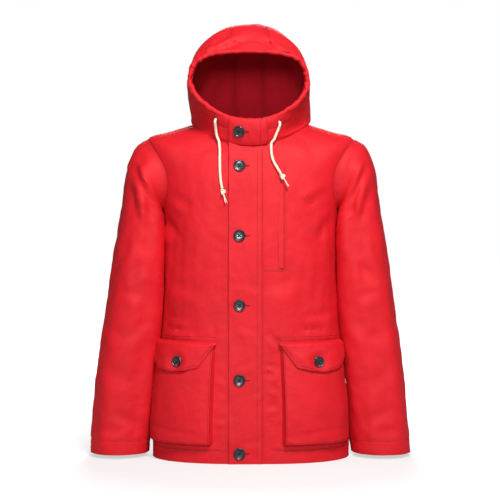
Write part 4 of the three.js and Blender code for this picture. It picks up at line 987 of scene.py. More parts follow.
def add_sleeve(side, name, tree):
    columns, rows = 72, 110
    turns = np.arange(columns) * 360 / columns
    starts = sleeve_starts(side, turns, tree)
    SLEEVE_START[name] = (turns, starts)
    steps = even(lambda t: sleeve_point(side, np.full(t.shape, 0.0), t), rows, 0.09, 1.0)
    shares = np.sort(np.concatenate([(steps - 0.09) / 0.91, [0.953, 0.957, 0.961, 0.965]]))
    turn = np.broadcast_to(turns[:, None], (columns, len(shares)))
    first = (starts - 0.004)[:, None]
    along = first + (1 - first) * shares[None, :]
    middle = sleeve_point(side, turn + 90, along) / 2 + sleeve_point(side, turn + 270, along) / 2
    inside = (middle + sleeve_point(side, turn, along) + sleeve_point(side, turn + 180, along)) / 3
    here, out = normals(lambda a, b: sleeve_point(side, a, b), turn, along, inside)
    run = shares[None, :] * SLEEVE_LENGTH
    seed = 41 if side > 0 else 51
    fine = 0.7 * waves(here[..., 1], run, seed, 26, 50) + 0.5 * waves(here[..., 0], run, seed + 1, 14, 20)
    cuff = -0.7 * bell(here[..., 2] - 38, 2.4)
    lift = sleeve_folds(side, turn, run, here) + fine * np.clip(run / 70, 0, 1) + cuff
    outer = beside_body(here + out * lift[..., None], side, ARM_GAP)
    outer[..., 2] = np.where(shares[None, :] > 0.999, CUFF_HEM, np.maximum(outer[..., 2], CUFF_HEM))
    inner = beside_body(outer - out * SHELL_CLOTH, side, ARM_GAP + SHELL_CLOTH)
    inner[..., 2] = np.maximum(inner[..., 2], CUFF_HEM)
    seam_shade = seam_shade_grid(columns, len(shares), 0, 0, 0.9, 0.7)
    piece = slab("shell_sleeve_" + name, outer, inner, SHELL, wrap=True, seam=seam_shade)
    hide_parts("sleeve_" + name)
    blend_sleeve(piece)
    for label, node, low, high, depth, thick, finish, slot in (
            ("lining_sleeve_", "sleeve_lining_", 0.42, 0.975, 5.0, 0.9, LINING, "lining_cloth"),
            ("facing_cuff_", "cuff_facing_", 0.96, 0.9985, 2.6, 1.1, SHELL, "shell_cloth")):
        count = 40 if finish is LINING else 6
        t2, a2 = np.meshgrid(np.arange(48) * 7.5, np.linspace(low, high, count), indexing="ij")
        centre = (sleeve_point(side, t2, a2) + sleeve_point(side, t2 + 180, a2)) / 2
        here, out = normals(lambda a, b: sleeve_point(side, a, b), t2, a2, centre)
        shift = sleeve_folds(side, t2, (a2 - 0.09) / 0.91 * SLEEVE_LENGTH, here) - depth
        face = beside_body(here + out * shift[..., None], side, ARM_GAP + depth)
        inner = beside_body(face - out * thick, side, ARM_GAP + depth + thick)
        layer = slab(label + name, face, inner, finish, wrap=True)
        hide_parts(node + name)
        blend_sleeve(layer)


# ---------------------------------------------------------------- hood
SLIT = 270 + math.degrees(math.asin(25 / 131))
CROWN = math.degrees(math.acos((41 / 131) ** 1.2))
HOOD_EDGES = {"left": (SLIT - 359.7, CROWN - 0.02), "middle": (CROWN + 0.02, 179.98 - CROWN),
              "right": (180.02 - CROWN, SLIT - 0.3)}
HOOD_COLUMNS = {"left": 90, "middle": 24, "right": 90}
CASING = 26
HOOD_CREASES = [
    [-108.3, 860.4, 9.3, 914.5, 6, -3.8], [9.3, 914.5, 88.8, 854, 6, -3.8],
    [-64.9, 881.6, -22.5, 896.4, 8, -1.2], [19.9, 900.7, 57, 875.2, 7, 1.2],
    [-123.2, 770.3, -112.6, 727.9, 8, 1.6], [112.7, 770.3, 104.7, 733.2, 8, 1.6],
    [-123.2, 712, -64.9, 690.8, 7, 1.4], [62.3, 696.1, 110, 717.3, 7, 1.4],
]


def runs(turn):
    """The length of the hood's cloth from the rim, at 160 ways for each turn."""
    way = np.linspace(0, 1, 161)
    line = hood_point(turn[:, None] + 0 * way[None, :], np.broadcast_to(way, (len(turn), 161)))
    return way, np.concatenate([np.zeros((len(turn), 1)),
                                np.cumsum(np.linalg.norm(np.diff(line, axis=1), axis=2), axis=1)], 1)


def way_after(turn, distance):
    """The way at which the cloth has run a distance from the rim. Both are grids, one row for each turn."""
    way, run = runs(turn[:, 0])
    return np.stack([np.interp(distance[k], run[k], way) for k in range(len(turn))])


def hood_grid(name, distances, rows, scale=1.0):
    first, last = HOOD_EDGES[name]
    count = int(HOOD_COLUMNS[name] * scale)
    shares = even(lambda s: hood_point(first + (last - first) * s, 0 * s + 0.3), count)
    turn = (first + (last - first) * shares)[:, None]
    near = np.asarray(distances, float)
    way = way_after(np.broadcast_to(turn, (count, len(near))), np.broadcast_to(near, (count, len(near))))
    rest = way[:, -1:] + (1 - way[:, -1:]) * np.linspace(0, 1, rows + 1)[None, 1:]
    way = np.concatenate([way, rest], 1)
    turn = np.broadcast_to(turn, way.shape)
    _, run = runs(turn[:, 0])
    distance = np.stack([np.interp(way[k], np.linspace(0, 1, 161), run[k]) for k in range(count)])
    return turn, way, distance


def rim_run(turn):
    """How far along the rim a turn is, in millimetres."""
    table = np.linspace(-90, 290, 761)
    line = hood_point(table, 0 * table)
    run = run_along(line)
    return np.interp(turn, table, run)


def gather(turn):
    """How strongly the drawcord gathers the rim: most at the opening's upper corners and down its sides."""
    a = np.asarray(turn, float)
    corners = bell(a - 52, 20) + bell(a - 128, 20)
    sides = bell(a - 5, 34) + bell(a - 175, 34)
    return 0.35 + 0.75 * corners + 0.6 * sides


def blend_hood(piece):
    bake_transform(piece)
    return piece


def hood_relief(here, turn, distance, edges):
    run = rim_run(turn)
    pucker = waves(run, distance, 61, 15, 60, 24)
    lift = 1.7 * gather(turn) * pucker * bell(distance - 6, 15)
    lift = lift + 0.9 * waves(run, distance, 62, 11, 40, 24) * bell(distance - CASING, 9)
    lift = lift - 0.8 * bell(distance - CASING, 2.5)
    swell = 1.6 * waves(run, distance, 63, 110, 120) + 0.7 * waves(run, distance, 64, 45, 60)
    lift = lift + swell * np.clip((distance - 20) / 60, 0, 1)
    first, last = edges
    side = np.minimum(np.abs(turn - first), np.abs(turn - last)) * 2.2
    lift = lift - 1.3 * bell(side, 3.2) * (0.8 + 0.3 * np.cos(distance / 1.9))
    return lift + crease(here, HOOD_CREASES)


def add_hood():
    distances = [0, 2, 4.5, 7, 10, 13, 16, 19, 22, 24.5, 26, 27.5, 30]
    for name, edges in HOOD_EDGES.items():
        turn, way, distance = hood_grid(name, distances, 46)
        here, out = hood_frame(turn, way)
        neck = np.clip((1 - way) / 0.12, 0, 1)
        lift = hood_relief(here, turn, distance, edges) * neck
        outer = here + out * lift[..., None]
        # Its last row tucks down inside the body's neck edge, and the two are sewn there.
        outer[:, -1] -= out[:, -1] * 1.0 + np.array([0, 0, 4.0])
        seam_shade = seam_shade_grid(*turn.shape, 0.9, 0.9, 0, 0.9)
        piece = slab("shell_hood_" + name, outer, outer - out * SHELL_CLOTH, SHELL, seam=seam_shade)
        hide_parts("hood_" + name)
        blend_hood(piece)
        turn, way, distance = hood_grid(name, [CASING + 1], 40, 0.6)
        here, out = hood_frame(turn, way)
        run = rim_run(turn)
        side = np.minimum(np.abs(turn - edges[0]), np.abs(turn - edges[1])) * 2.2
        lift = 1.1 * waves(run, distance, 71, 60, 90) + 0.6 * waves(run, distance, 72, 24, 70)
        lift = lift * np.clip((1 - way) / 0.1, 0, 1) + 1.4 * bell(side, 4) - 4.8
        outer = here + out * lift[..., None]
        seam_shade = seam_shade_grid(*turn.shape, 1, 1, 1, 1)
        lining = slab("lining_hood_" + name, outer, outer - out * 0.9, LINING, seam=seam_shade)
        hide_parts("hood_lining_" + name)
        blend_hood(lining)
    add_casing()


def add_casing():
    """The tunnel round the face opening: the rim's cloth rolled in over the drawcord and stitched down."""
    shares = np.linspace(0, 1, 240)
    turn = (SLIT - 359.2) + (359.2 - 0.8) * shares
    section = np.array([(2.8, 0.05), (0.6, 0.1), (-1.6, 1.2), (-2.9, 2.9), (-3.2, 5.0), (-2.4, 7.2), (-0.4, 9.0),
                        (3.0, 10.2), (8, 10.8), (13, 10.6), (18, 9.6), (22, 8.2), (25, 6.8), (26.5, 6.0)])
    a = np.broadcast_to(section[:, 0], (240, len(section))).copy()
    d = np.broadcast_to(section[:, 1], (240, len(section))).copy()
    run = rim_run(turn)[:, None]
    strength = gather(turn)[:, None]
    k = np.arange(len(section))[None, :]
    pucker = waves(run + 0 * k, 0 * run + k * 4.0, 81, 14, 50, 24) * strength
    fine = waves(run + 0 * k, 0 * run + k * 3.0, 82, 7.5, 30, 24) * strength
    roll = bell(k - 4.5, 4.5)
    ends = np.clip(np.minimum(k, len(section) - 1 - k) / 1.5, 0, 1)
    swell = (1.7 * pucker + 0.9 * fine + 0.7 * (strength - 0.35)) * roll * ends
    a = a - swell * np.array([0.3, 0.6, 0.9, 1, 1, 0.9, 0.5, 0.1, 0, 0, 0, 0, 0, 0])
    d = d + swell * np.array([0, 0.1, -0.3, -0.1, 0.2, 0.5, 0.9, 1, 1, 1, 0.9, 0.7, 0.4, 0])
    way = way_after(np.broadcast_to(turn[:, None], a.shape), np.maximum(a, 0))
    here, out = hood_frame(np.broadcast_to(turn[:, None], a.shape), way)
    rim, _ = hood_frame(turn, 0 * turn)
    inside = hood_point(turn, 0 * turn + 0.02)
    forward = rim - inside
    forward /= np.linalg.norm(forward, axis=1)[:, None]
    outer = here - out * d[..., None] + forward[:, None, :] * np.maximum(-a, 0)[..., None]
    middle = here[:, 8:9] - out[:, 8:9] * 7
    towards = middle - outer
    towards /= np.linalg.norm(towards, axis=-1)[..., None]
    inner = outer + towards * SHELL_CLOTH
    # Painted shade along the casing's two long edges, at half strength on the first.
    seam_shade = np.zeros(a.shape)
    seam_shade[:, 0] = 0.5
    seam_shade[:, -1] = 1
    piece = slab("shell_casing", outer, inner, SHELL, seam=seam_shade, sharp=80)
    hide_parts("hood_casing")
    blend_hood(piece)
    hidden = np.linspace(SLIT - 344, SLIT - 38, 90)
    way = way_after(hidden[:, None], np.full((90, 1), 11.0))
    here, out = hood_frame(hidden[:, None], way)
    path = (here - out * 7.5)[:, 0]
    cord = tube("drawcord_inside", smooth_path(path, 6), CORD_DIAMETER / 2, CORD, 12)
    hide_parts("drawcord_inside")
    blend_hood(cord)


add_body()
add_lining()
TREE = torso_tree()
add_sleeve(1, "left", TREE)
add_sleeve(-1, "right", TREE)
add_hood()


# ---------------------------------------------------------------- storm placket and throat tab
BUTTONS = {
    "front_button_1": ((-23.1, -132, 22.4), (-0.021, -1, -0.011)),
    "front_button_2": ((-23.1, -129.7, 175.2), (-0.022, -0.999, 0.037)),
    "front_button_3": ((-23.2, -125.7, 331), (-0.026, -1, -0.008)),
    "front_button_4": ((-23.2, -127.3, 477.1), (-0.028, -0.999, 0.023)),
    "front_button_5": ((-23.1, -118.5, 624), (-0.019, -0.986, 0.168)),
    "throat_button": ((-24.4, -121.4, 694.4), (-0.1995, -0.9166, -0.3464)),
    "pocket_button_left": ((143.7, -115.1, 211.9), (0.411, -0.9095, 0.061)),
    "pocket_button_right": ((-155.1, -109.4, 212), (-0.478, -0.876, 0.067)),
}
PLACKET_CREASES = [
    [-38, 667.2, 9.2, 646.2, 6, 1.6], [-43.2, 654.1, 4, 630.5, 5, 1.4], [-22.2, 677.7, 19.7, 661.9, 5, 1.2],
    [-40.6, 599, -22.2, 572.8, 5, 1], [-43.2, 378.8, 27.6, 367.3, 6, 1.5], [-40.6, 410.3, -17, 384.1, 5, 1.2],
    [-30.1, 289.7, 19.7, 274, 6, 1.2], [-43.2, 321.2, -36.9, 284.5, 4, 1], [-40.6, 195.4, 4, 211.1, 6, 1.1],
    [-22.2, 43.3, 27.6, 48.6, 5, 1.2], [-43.2, 132.4, -38, 90.5, 4, 1], [-6.5, 142.9, 27.6, 150.8, 6, 1],
]


def settle_at_buttons(points, lift, names, reach=15):
    """The lift of cloth that its buttons hold down."""
    for name in names:
        at = np.array(BUTTONS[name][0])
        far = np.linalg.norm(points - at, axis=-1)
        lift = np.where(lift > 0, lift * (1 - np.exp(-(far / reach) ** 4)), lift)
    return lift


def rounded_edges(x, low, high, reach=3.0, depth=0.9):
    """How much a layer's outer face falls near its two edges."""
    near = np.clip(np.minimum(x - low, high - x) / reach, 0, 1)
    return depth * (1 - np.sqrt(np.clip(1 - (1 - near) ** 2, 0, 1)))


def blend_placket(piece):
    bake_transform(piece)
    return piece


def blend_tab(piece):
    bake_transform(piece)
    return piece


def edged(low, high, count, edge=1.3):
    """Numbers from low to high, with two more close to each end."""
    return np.sort(np.concatenate([np.linspace(low, high, count), [low + edge * 0.4, low + edge, low + 2.2 * edge,
                                                                  high - edge * 0.4, high - edge,
                                                                  high - 2.2 * edge]]))


PLACKET_LOOSE, PLACKET_SEWN = -45.5, 26  # x of the placket's two edges
TAB_LOOSE, TAB_SEWN = -44.5, 36  # x of the throat tab's two ends
TAB_DEPTH = 57


def add_placket():
    xs = edged(PLACKET_LOOSE, PLACKET_SEWN, 22)
    shares = edged(0, 1, 104, 0.002)
    top = neck_seam(xs) - 3
    x = np.broadcast_to(xs[:, None], (len(xs), len(shares)))
    z = 0.6 + (top[:, None] - 0.6) * shares[None, :]
    base = on_front(x, z, 3.4)
    lift = 0.7 * waves(x, z, 91, 50, 95) + 0.35 * waves(x, z, 92, 16, 30) + crease(base, PLACKET_CREASES)
    stitched = bell(x - 15, 2)
    lift = lift + 0.3 * waves(z, 0 * z, 93, 12, 10) * bell(x - 15, 7) - 0.5 * stitched
    loose = np.clip((-20 - x) / 25, 0, 1)
    lift = lift + loose * (2.7 + 1.2 * waves(z, 0 * z, 94, 90, 10))
    lift = settle_at_buttons(base, np.maximum(lift + 0.4, -0.7), [f"front_button_{k}" for k in range(1, 6)])
    lift = lift * np.clip((PLACKET_SEWN - x) / 6, 0, 1)
    fall = rounded_edges(x, PLACKET_LOOSE, PLACKET_SEWN)
    outer = on_front(x, z, 3.4 + lift - fall)
    inner = on_front(x, z, 1.0 + np.maximum(lift, 0) * 0.8 + fall * 0.4)
    inner[..., 2] = np.maximum(inner[..., 2], 0.2)
    outer[..., 2] = np.maximum(outer[..., 2], 0.2)
    piece = slab("storm_placket_cloth", outer, inner, SHELL, seam=seam_shade_grid(*x.shape, 0.5, 0.9, 0.6, 0.8), sharp=70)
    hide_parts("storm_placket")
    blend_placket(piece)
    return piece


def tab_point(x, way, offset):
    turn = 270 + np.degrees(np.arcsin(np.clip(x / along_stations(HOOD, way)[..., 6], -1, 1)))
    return on_hood(turn, way, offset)


def add_tab():
    xs = edged(TAB_LOOSE, TAB_SEWN, 26)
    ways = edged(0.045, 0.956, 22, 0.02)
    x, way = np.meshgrid(xs, ways, indexing="ij")
    base = tab_point(x, way, 4.2)
    lift = 0.5 * waves(x, way * TAB_DEPTH, 95, 40, 40) + 0.3 * waves(x, way * TAB_DEPTH, 96, 13, 22)
    loose = np.clip((-22 - x) / 22, 0, 1)
    lift = lift + loose * 0.8 + 0.9 * bell(way - 0.05, 0.12) * (0.5 + 0.5 * waves(x, 0 * x, 97, 18, 10))
    lift = settle_at_buttons(base, np.maximum(lift + 0.3, -0.5), ["throat_button"], 14)
    fall = rounded_edges(x, TAB_LOOSE, TAB_SEWN)
    fall = fall + rounded_edges(way * TAB_DEPTH, 0.045 * TAB_DEPTH, 0.956 * TAB_DEPTH, 2.5, 0.7)
    outer = tab_point(x, way, 4.0 + lift - fall)
    inner = tab_point(x, way, 1.5 + np.maximum(lift, 0) * 0.8 + fall * 0.3)
    piece = slab("throat_tab_cloth", outer, inner, SHELL, seam=seam_shade_grid(*x.shape, 0.6, 0.8, 0.7, 0.9), sharp=70)
    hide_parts("throat_tab")
    blend_tab(piece)
    return piece


# ---------------------------------------------------------------- pockets
FLAP_SEAM = 256  # height of the flaps' seams
POCKET_WIDTH = 160
POCKET_TOP = 244


def pocket_turn(side, share):
    """The turn of a share of the pocket's width, measured along the cloth from its inner edge."""
    start = float(front_turn(np.array(FRONT_CENTRE + side * 71.5), np.array(rise_at(140))))
    turns = start - side * np.linspace(-6, 75, 400)
    line = on_body(turns, 140.0)
    run = run_along(line)
    run = run - np.interp(0, np.linspace(-6, 75, 400), run)
    return np.interp(np.asarray(share) * POCKET_WIDTH, run, turns)


def stand_of(height):
    full = np.clip((POCKET_TOP - height) / 90, 0, 1)
    return 8 + 6 * np.sin(full * math.pi / 2)


def closing_in(share):
    """The pocket stands out less towards its outer side."""
    near = np.clip((share - 0.72) / 0.28, 0, 1)
    return 1 - 0.45 * eased(near)


def fullness(share, height):
    s, v = np.clip(share, 0, 1), np.clip((height - 36) / 208, 0, 1)
    return 3.0 * np.sin(math.pi * s) ** 0.8 * np.sin(math.pi * np.clip(v * 0.9 + 0.02, 0, 1)) ** 0.7


def flap_drop(share):
    """How long the flap is from its seam down, from its inner end to its rounded outer end."""
    return np.interp(share, [0, 0.05, 0.2, 0.36, 0.55, 0.75, 0.9, 0.96, 1], [8, 20, 55, 62, 66, 61, 50, 42, 27])


def add_pocket(side, name):
    seed = 101 if side > 0 else 111
    shares = edged(0.03, 0.99, 34, 0.008)
    heights = edged(41, POCKET_TOP, 44, 1.4)
    share, height = np.meshgrid(shares, heights, indexing="ij")
    turn = pocket_turn(side, share)
    edge_x = rounded_edges(share * POCKET_WIDTH, 0.03 * POCKET_WIDTH, 0.99 * POCKET_WIDTH, 2, 1.3)
    edge_z = rounded_edges(height, 41, 470, 2, 1.3)
    lift = 0.9 * waves(share * POCKET_WIDTH, height, seed, 70, 80)
    lift = lift + 0.35 * waves(share * POCKET_WIDTH, height, seed + 1, 20, 26)
    lift = lift + 0.35 * waves(height, 0 * height, seed + 2, 13, 10) * bell((share - 0.05) * POCKET_WIDTH, 8)
    lift = lift + 0.35 * waves(share * POCKET_WIDTH, 0 * height, seed + 3, 13, 10) * bell(height - 44, 8)
    lift = lift - 1.6 * bell(height - 58 - 16 * share, 5) * np.clip(np.sin(math.pi * share), 0, 1)
    lift = fullness(share, height) + lift * np.clip((POCKET_TOP - height) / 30, 0.2, 1)
    base = on_body(turn, height, stand_of(height) * closing_in(share))
    away = stand_of(height) * closing_in(share) + settle_at_buttons(base, lift, ["pocket_button_" + name], 24)
    outer = on_body(turn, height, away - edge_x - edge_z)
    inner = on_body(turn, height, away - np.maximum(edge_x, edge_z) * 0.6 - 1.5)
    front = slab("pocket_face_" + name, outer, inner, SHELL,
                 seam=seam_shade_grid(*share.shape, 0.9, 0.9, 0.9, 0.6), sharp=70)
    on_torso(front, "pocket_front_" + name)
    # The bellows: a wall from the jacket out to the face, round its inner side, bottom and outer side.
    sides = [(0.0, z) for z in np.linspace(POCKET_TOP, 41, 36)] + [(s, 36.0) for s in np.linspace(0.03, 0.97, 28)]
    sides += [(1.0, z) for z in np.linspace(41, POCKET_TOP, 36)]
    base = np.array(sides)
    tight = np.array([(0.036 + 0.948 * s, 41.5 + (z - 36) * 202 / 208) for s, z in base])
    rows = np.linspace(0, 1, 7)
    mix = rows[None, :]
    share = base[:, :1] + (tight[:, :1] - base[:, :1]) * mix ** 0.8
    height = base[:, 1:] + (tight[:, 1:] - base[:, 1:]) * mix ** 0.8
    top = (stand_of(tight[:, 1]) * closing_in(tight[:, 0]) + fullness(tight[:, 0], tight[:, 1]) - 1.9)[:, None]
    away = 0.9 + (top - 0.9) * mix
    turn = pocket_turn(side, share)
    outer = on_body(turn, height, away)
    inset_s = share + (0.5 - share) * np.where(np.abs(0.5 - share) > 0.46, 0.018, 0)
    inset_z = height + np.where(base[:, 1:] < 40, 1.4, 0.0)
    inner = on_body(pocket_turn(side, inset_s), inset_z, away)
    n = outer.shape[0]
    gusset = slab("pocket_bellows_" + name, outer, inner, SHELL, seam=seam_shade_grid(n, 7, 0, 0, 1, 0.6), sharp=60)
    on_torso(gusset, "pocket_gusset_" + name)
    return front, add_flap(side, name)


def add_flap(side, name):
    body = "pocket_flap_" + name
    shares = edged(-3 / POCKET_WIDTH, 1 + 3 / POCKET_WIDTH, 44, 0.006)
    steps = np.sort(np.concatenate([np.linspace(0, 1, 22), [0.03, 0.06, 0.09, 0.12, 0.97, 0.985, 0.993]]))
    share, step = np.meshgrid(shares, steps, indexing="ij")
    drop = flap_drop(np.clip(share, 0, 1)) * step
    height = FLAP_SEAM - drop
    turn = pocket_turn(side, share)
    roll = np.sin(np.minimum(1, drop / 10) * math.pi / 2)
    away = 1.3 + (stand_of(height) * closing_in(share) + 1.2 - 1.3) * roll
    along, down = share * POCKET_WIDTH, drop
    # The inner corner is pressed flat, and the rest of the flap stands a little proud of it.
    beyond = (down - 8) * 0.72 - (along - 2) * 0.69
    flat = np.clip(0.5 + beyond / 14, 0, 1)
    puff = 2.6 * (1 - eased(flat)) * roll
    seed = 121 if side > 0 else 131
    ripple = 0.6 * waves(along, down, seed, 42, 34) + 0.3 * waves(along, down, seed + 1, 15, 18)
    lift = puff + (ripple + 0.6 + fullness(share, height)) * roll
    base = on_body(turn, height, away + 2.4)
    lift = settle_at_buttons(base, np.maximum(lift, 0), ["pocket_button_" + name], 19)
    length = flap_drop(np.clip(share, 0, 1))
    fall = rounded_edges(along, -3, 163, 3, 0.8) + rounded_edges(length - down, 0, 400, 3, 0.8)
    outer = on_body(turn, height, away + 2.4 + lift - fall)
    inner = on_body(turn, height, away + np.maximum(lift, 0) + fall * 0.3)
    piece = slab(body + "_cloth", outer, inner, SHELL, seam=seam_shade_grid(*share.shape, 0.7, 0.7, 0.9, 0.7), sharp=70)
    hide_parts(body)
    blend_flap(piece)
    return piece


def blend_flap(piece):
    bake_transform(piece)
    return piece


def add_chest_pocket():
    x, z = np.meshgrid(edged(58.5, 69.4, 8, 0.8), edged(409, 584, 40, 0.9), indexing="ij")
    # The welt's left side runs flush into the jacket, and its right side stands up as a thin lip.
    lip = np.clip((x - 58.5) / 10, 0, 1) ** 2
    lift = 0.2 * waves(z, x, 141, 26, 30) * lip - rounded_edges(x, 40, 69.4, 1, 0.4)
    outer = on_front(x, z, 1.3 + 1.5 * lip + lift)
    inner = on_front(x, z, 0.6 + 0 * lift)
    welt = slab("chest_pocket_welt_cloth", outer, inner, SHELL, seam=seam_shade_grid(*x.shape, 0.6, 1, 1, 1), sharp=70)
    on_torso(welt, "chest_pocket_welt")
    low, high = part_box("chest_pocket_bag")
    x, z = np.meshgrid(np.linspace(low.x, high.x, 16) / MM, np.linspace(low.z, high.z, 24) / MM, indexing="ij")
    outer = on_front(x, z, -2.4)
    bag = slab("chest_pocket_bag_cloth", outer, on_front(x, z, -3.3), LINING)
    on_torso(bag, "chest_pocket_bag")
    return welt


# ---------------------------------------------------------------- buttons, buttonholes and eyelets
def add_button(name, at, out):
    """A turned button with a raised rim and four holes, on crossed stitches and a thread shank."""
    profile = [(0, -1.9), (9.5, -1.9), (11.6, -1.5), (12.5, -0.5), (12.5, 0.5), (12.0, 1.5), (11.1, 2.0), (10.2, 1.9),
               (9.4, 1.3), (8.8, 0.6), (7.5, 0.3), (4.5, 0.15), (0, 0.1)]
    holes = []
    for a in (45, 135, 225, 315):
        x, y = 3.1 * math.cos(math.radians(a)), 3.1 * math.sin(math.radians(a))
        holes.append(tube("hole", [(x, y, -6), (x, y, 6)], 1.15, BUTTON_THREAD, 12))
    button = turned(name + "_disc", profile, BUTTON, at, out, 48, holes)
    for hole in holes:
        discard(hole)
    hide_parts(name)
    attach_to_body(button, name)
    parts = []
    frame_of = Vector((0, 0, 1)).rotation_difference(Vector(out)).to_matrix()
    for a, b in ((45, 225), (135, 315)):
        for shift in (-0.45, 0.45):
            ends = [Vector((3.1 * math.cos(math.radians(k)), 3.1 * math.sin(math.radians(k)), 0)) for k in (a, b)]
            aside = Vector((-math.sin(math.radians(a)), math.cos(math.radians(a)), 0)) * shift
            line = [ends[0] + Vector((0, 0, -2.6)), ends[0] + Vector((0, 0, 0.1)),
                    ends[0] * 0.55 + Vector((0, 0, 0.75)),
                    Vector((0, 0, 0.95 if a == 45 else 1.35)), ends[1] * 0.55 + Vector((0, 0, 0.75)),
                    ends[1] + Vector((0, 0, 0.1)), ends[1] + Vector((0, 0, -2.6))]
            line = [np.array(frame_of @ (p + aside)) + np.array(at) for p in line]
            parts.append(tube("strand", smooth_path(line, 0.7), 0.42, BUTTON_THREAD, 8))
    back = [np.array(frame_of @ Vector((0.5 * math.cos(k * 0.9), 0.5 * math.sin(k * 0.9), -2.2 - k * 0.32))) + at
            for k in range(13)]
    parts.append(tube("strand", back, 1.1, BUTTON_THREAD, 10))
    thread = join(parts, name + "_stitches")
    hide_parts(name + "_thread")
    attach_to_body(thread, name)


def add_eyelet(name):
    at, out = EYELETS[name]
    base = np.array(at)
    profile = [(2.75, -1.2), (3.4, -0.9), (4.9, -0.7), (5.3, -0.2), (5.1, 0.5), (4.3, 1.05), (3.5, 1.0), (2.9, 0.4),
               (2.75, -0.4), (2.75, -1.2)]
    ring = turned("eyelet_ring_" + name, profile, BRASS, base, out, 36)
    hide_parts("eyelet_" + name)
    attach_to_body(ring, "torso")


FACES = {}


def laid_on(piece, points, lift=0.15):
    """Points moved onto a piece's outer face, and this far off it."""
    if piece.name not in FACES:
        vertices = [v.co.copy() for v in piece.data.vertices]
        FACES[piece.name] = BVHTree.FromPolygons(vertices, [tuple(p.vertices) for p in piece.data.polygons])
    laid = []
    for point in points:
        near, normal, _, _ = FACES[piece.name].find_nearest(Vector(point) * MM)
        laid.append(np.array(near) / MM + np.array(normal) * lift)
    return np.array(laid)


def buttonhole(piece, middle, along, out):
    """The worked edge of a buttonhole, a stitched oval, and the slit inside it."""
    along, out = np.array(along, float), np.array(out, float)
    across = np.cross(out, along)
    t = np.linspace(0, math.tau, 61)[:-1]
    oval = [np.array(middle) + along * (11.8 * np.clip(1.18 * math.cos(a), -1, 1)) + across * 1.35 * math.sin(a)
            for a in np.append(t, t[0])]
    laid = laid_on(piece, [p + 2.0 * out for p in oval], 0.25)
    edge = tube("purl", laid, 0.6, SEAM_THREAD, 8, out)
    slit = laid_on(piece, [np.array(middle) + along * s + 2.0 * out for s in np.linspace(-11.5, 11.5, 14)], 0.05)
    return edge, tube("slit", slit, 0.5, LINING, 8, out)


def add_buttonholes(piece, name, buttons, along, attach):
    edges, slits = [], []
    for button in buttons:
        at, out = (np.array(v, float) for v in BUTTONS[button])
        along_here = np.array(along, float) - out * np.dot(out, along)
        along_here /= np.linalg.norm(along_here)
        edge, slit = buttonhole(piece, at + along_here * 10 - out * 3.5, along_here, out)
        edges.append(edge)
        slits.append(slit)
    for parts, label in ((edges, "_buttonhole_purl"), (slits, "_buttonhole_slit")):
        joined = join(parts, name + label)
        attach(joined)


# ---------------------------------------------------------------- topstitching
def stitch_tree():
    """Turns lines of edges into rows of stitches: short lengths of thread, one after the other."""
    tree = bpy.data.node_groups.new("topstitching", "GeometryNodeTree")
    face = tree.interface
    face.new_socket("Lines", in_out="INPUT", socket_type="NodeSocketGeometry")
    face.new_socket("Pitch", in_out="INPUT", socket_type="NodeSocketFloat")
    face.new_socket("Stitch length", in_out="INPUT", socket_type="NodeSocketFloat")
    face.new_socket("Thread radius", in_out="INPUT", socket_type="NodeSocketFloat")
    face.new_socket("Thread", in_out="INPUT", socket_type="NodeSocketMaterial")
    face.new_socket("Stitches", in_out="OUTPUT", socket_type="NodeSocketGeometry")
    given = add_node(tree, "NodeGroupInput").outputs
    curve = add_node(tree, "GeometryNodeMeshToCurve", {"Mesh": given["Lines"]})
    points = add_node(tree, "GeometryNodeCurveToPoints", {"Curve": curve.outputs["Curve"], "Length": given["Pitch"]},
                      mode="LENGTH")
    bar_node = add_node(tree, "GeometryNodeMeshCylinder", {"Vertices": 6, "Radius": given["Thread radius"],
                                                           "Depth": given["Stitch length"]}, fill_type="NGON")
    rows = add_node(tree, "GeometryNodeInstanceOnPoints", {
        "Points": points.outputs["Points"], "Instance": bar_node.outputs["Mesh"],
        "Rotation": points.outputs["Rotation"]})
    real = add_node(tree, "GeometryNodeRealizeInstances", {"Geometry": rows.outputs["Instances"]})
    done = add_node(tree, "GeometryNodeSetMaterial", {"Geometry": real.outputs["Geometry"],
                                                      "Material": given["Thread"]})
    add_node(tree, "NodeGroupOutput", {"Stitches": done.outputs["Geometry"]})
    return tree


def add_stitches(name, lines, attach):
    """Topstitching along lines that are laid on the cloth already, as one piece."""
    points, edges = [], []
    for line in lines:
        start = len(points)
        points += (np.asarray(line) * MM).tolist()
        edges += [(start + k, start + k + 1) for k in range(len(line) - 1)]
    mesh = bpy.data.meshes.new(name)
    mesh.from_pydata(points, edges, [])
    piece = new_object(name, mesh)
    modifier = piece.modifiers.new("topstitching", "NODES")
    modifier.node_group = STITCHING
    # Stitches 3.4 mm apart in a 0.8 mm thread, a little heavier than the real 0.5 mm so that the rows show.
    values = {"Pitch": 3.4 * MM, "Stitch length": 2.6 * MM, "Thread radius": 0.42 * MM, "Thread": SEAM_THREAD}
    for socket in STITCHING.interface.items_tree:
        if socket.name in values:
            modifier[socket.identifier] = values[socket.name]
    bpy.context.view_layer.update()
    bake(piece)
    attach(piece)
    return piece


STITCHING = stitch_tree()


# Two rows down the chest pocket's mouth and across to the placket's seam, as x and height.
CHEST_STITCHING = [[(74, z) for z in range(590, 403, -3)] + [(x, 402) for x in range(72, 28, -2)],
                   [(71, z) for z in range(588, 406, -3)] + [(x, 405) for x in range(69, 28, -2)]]


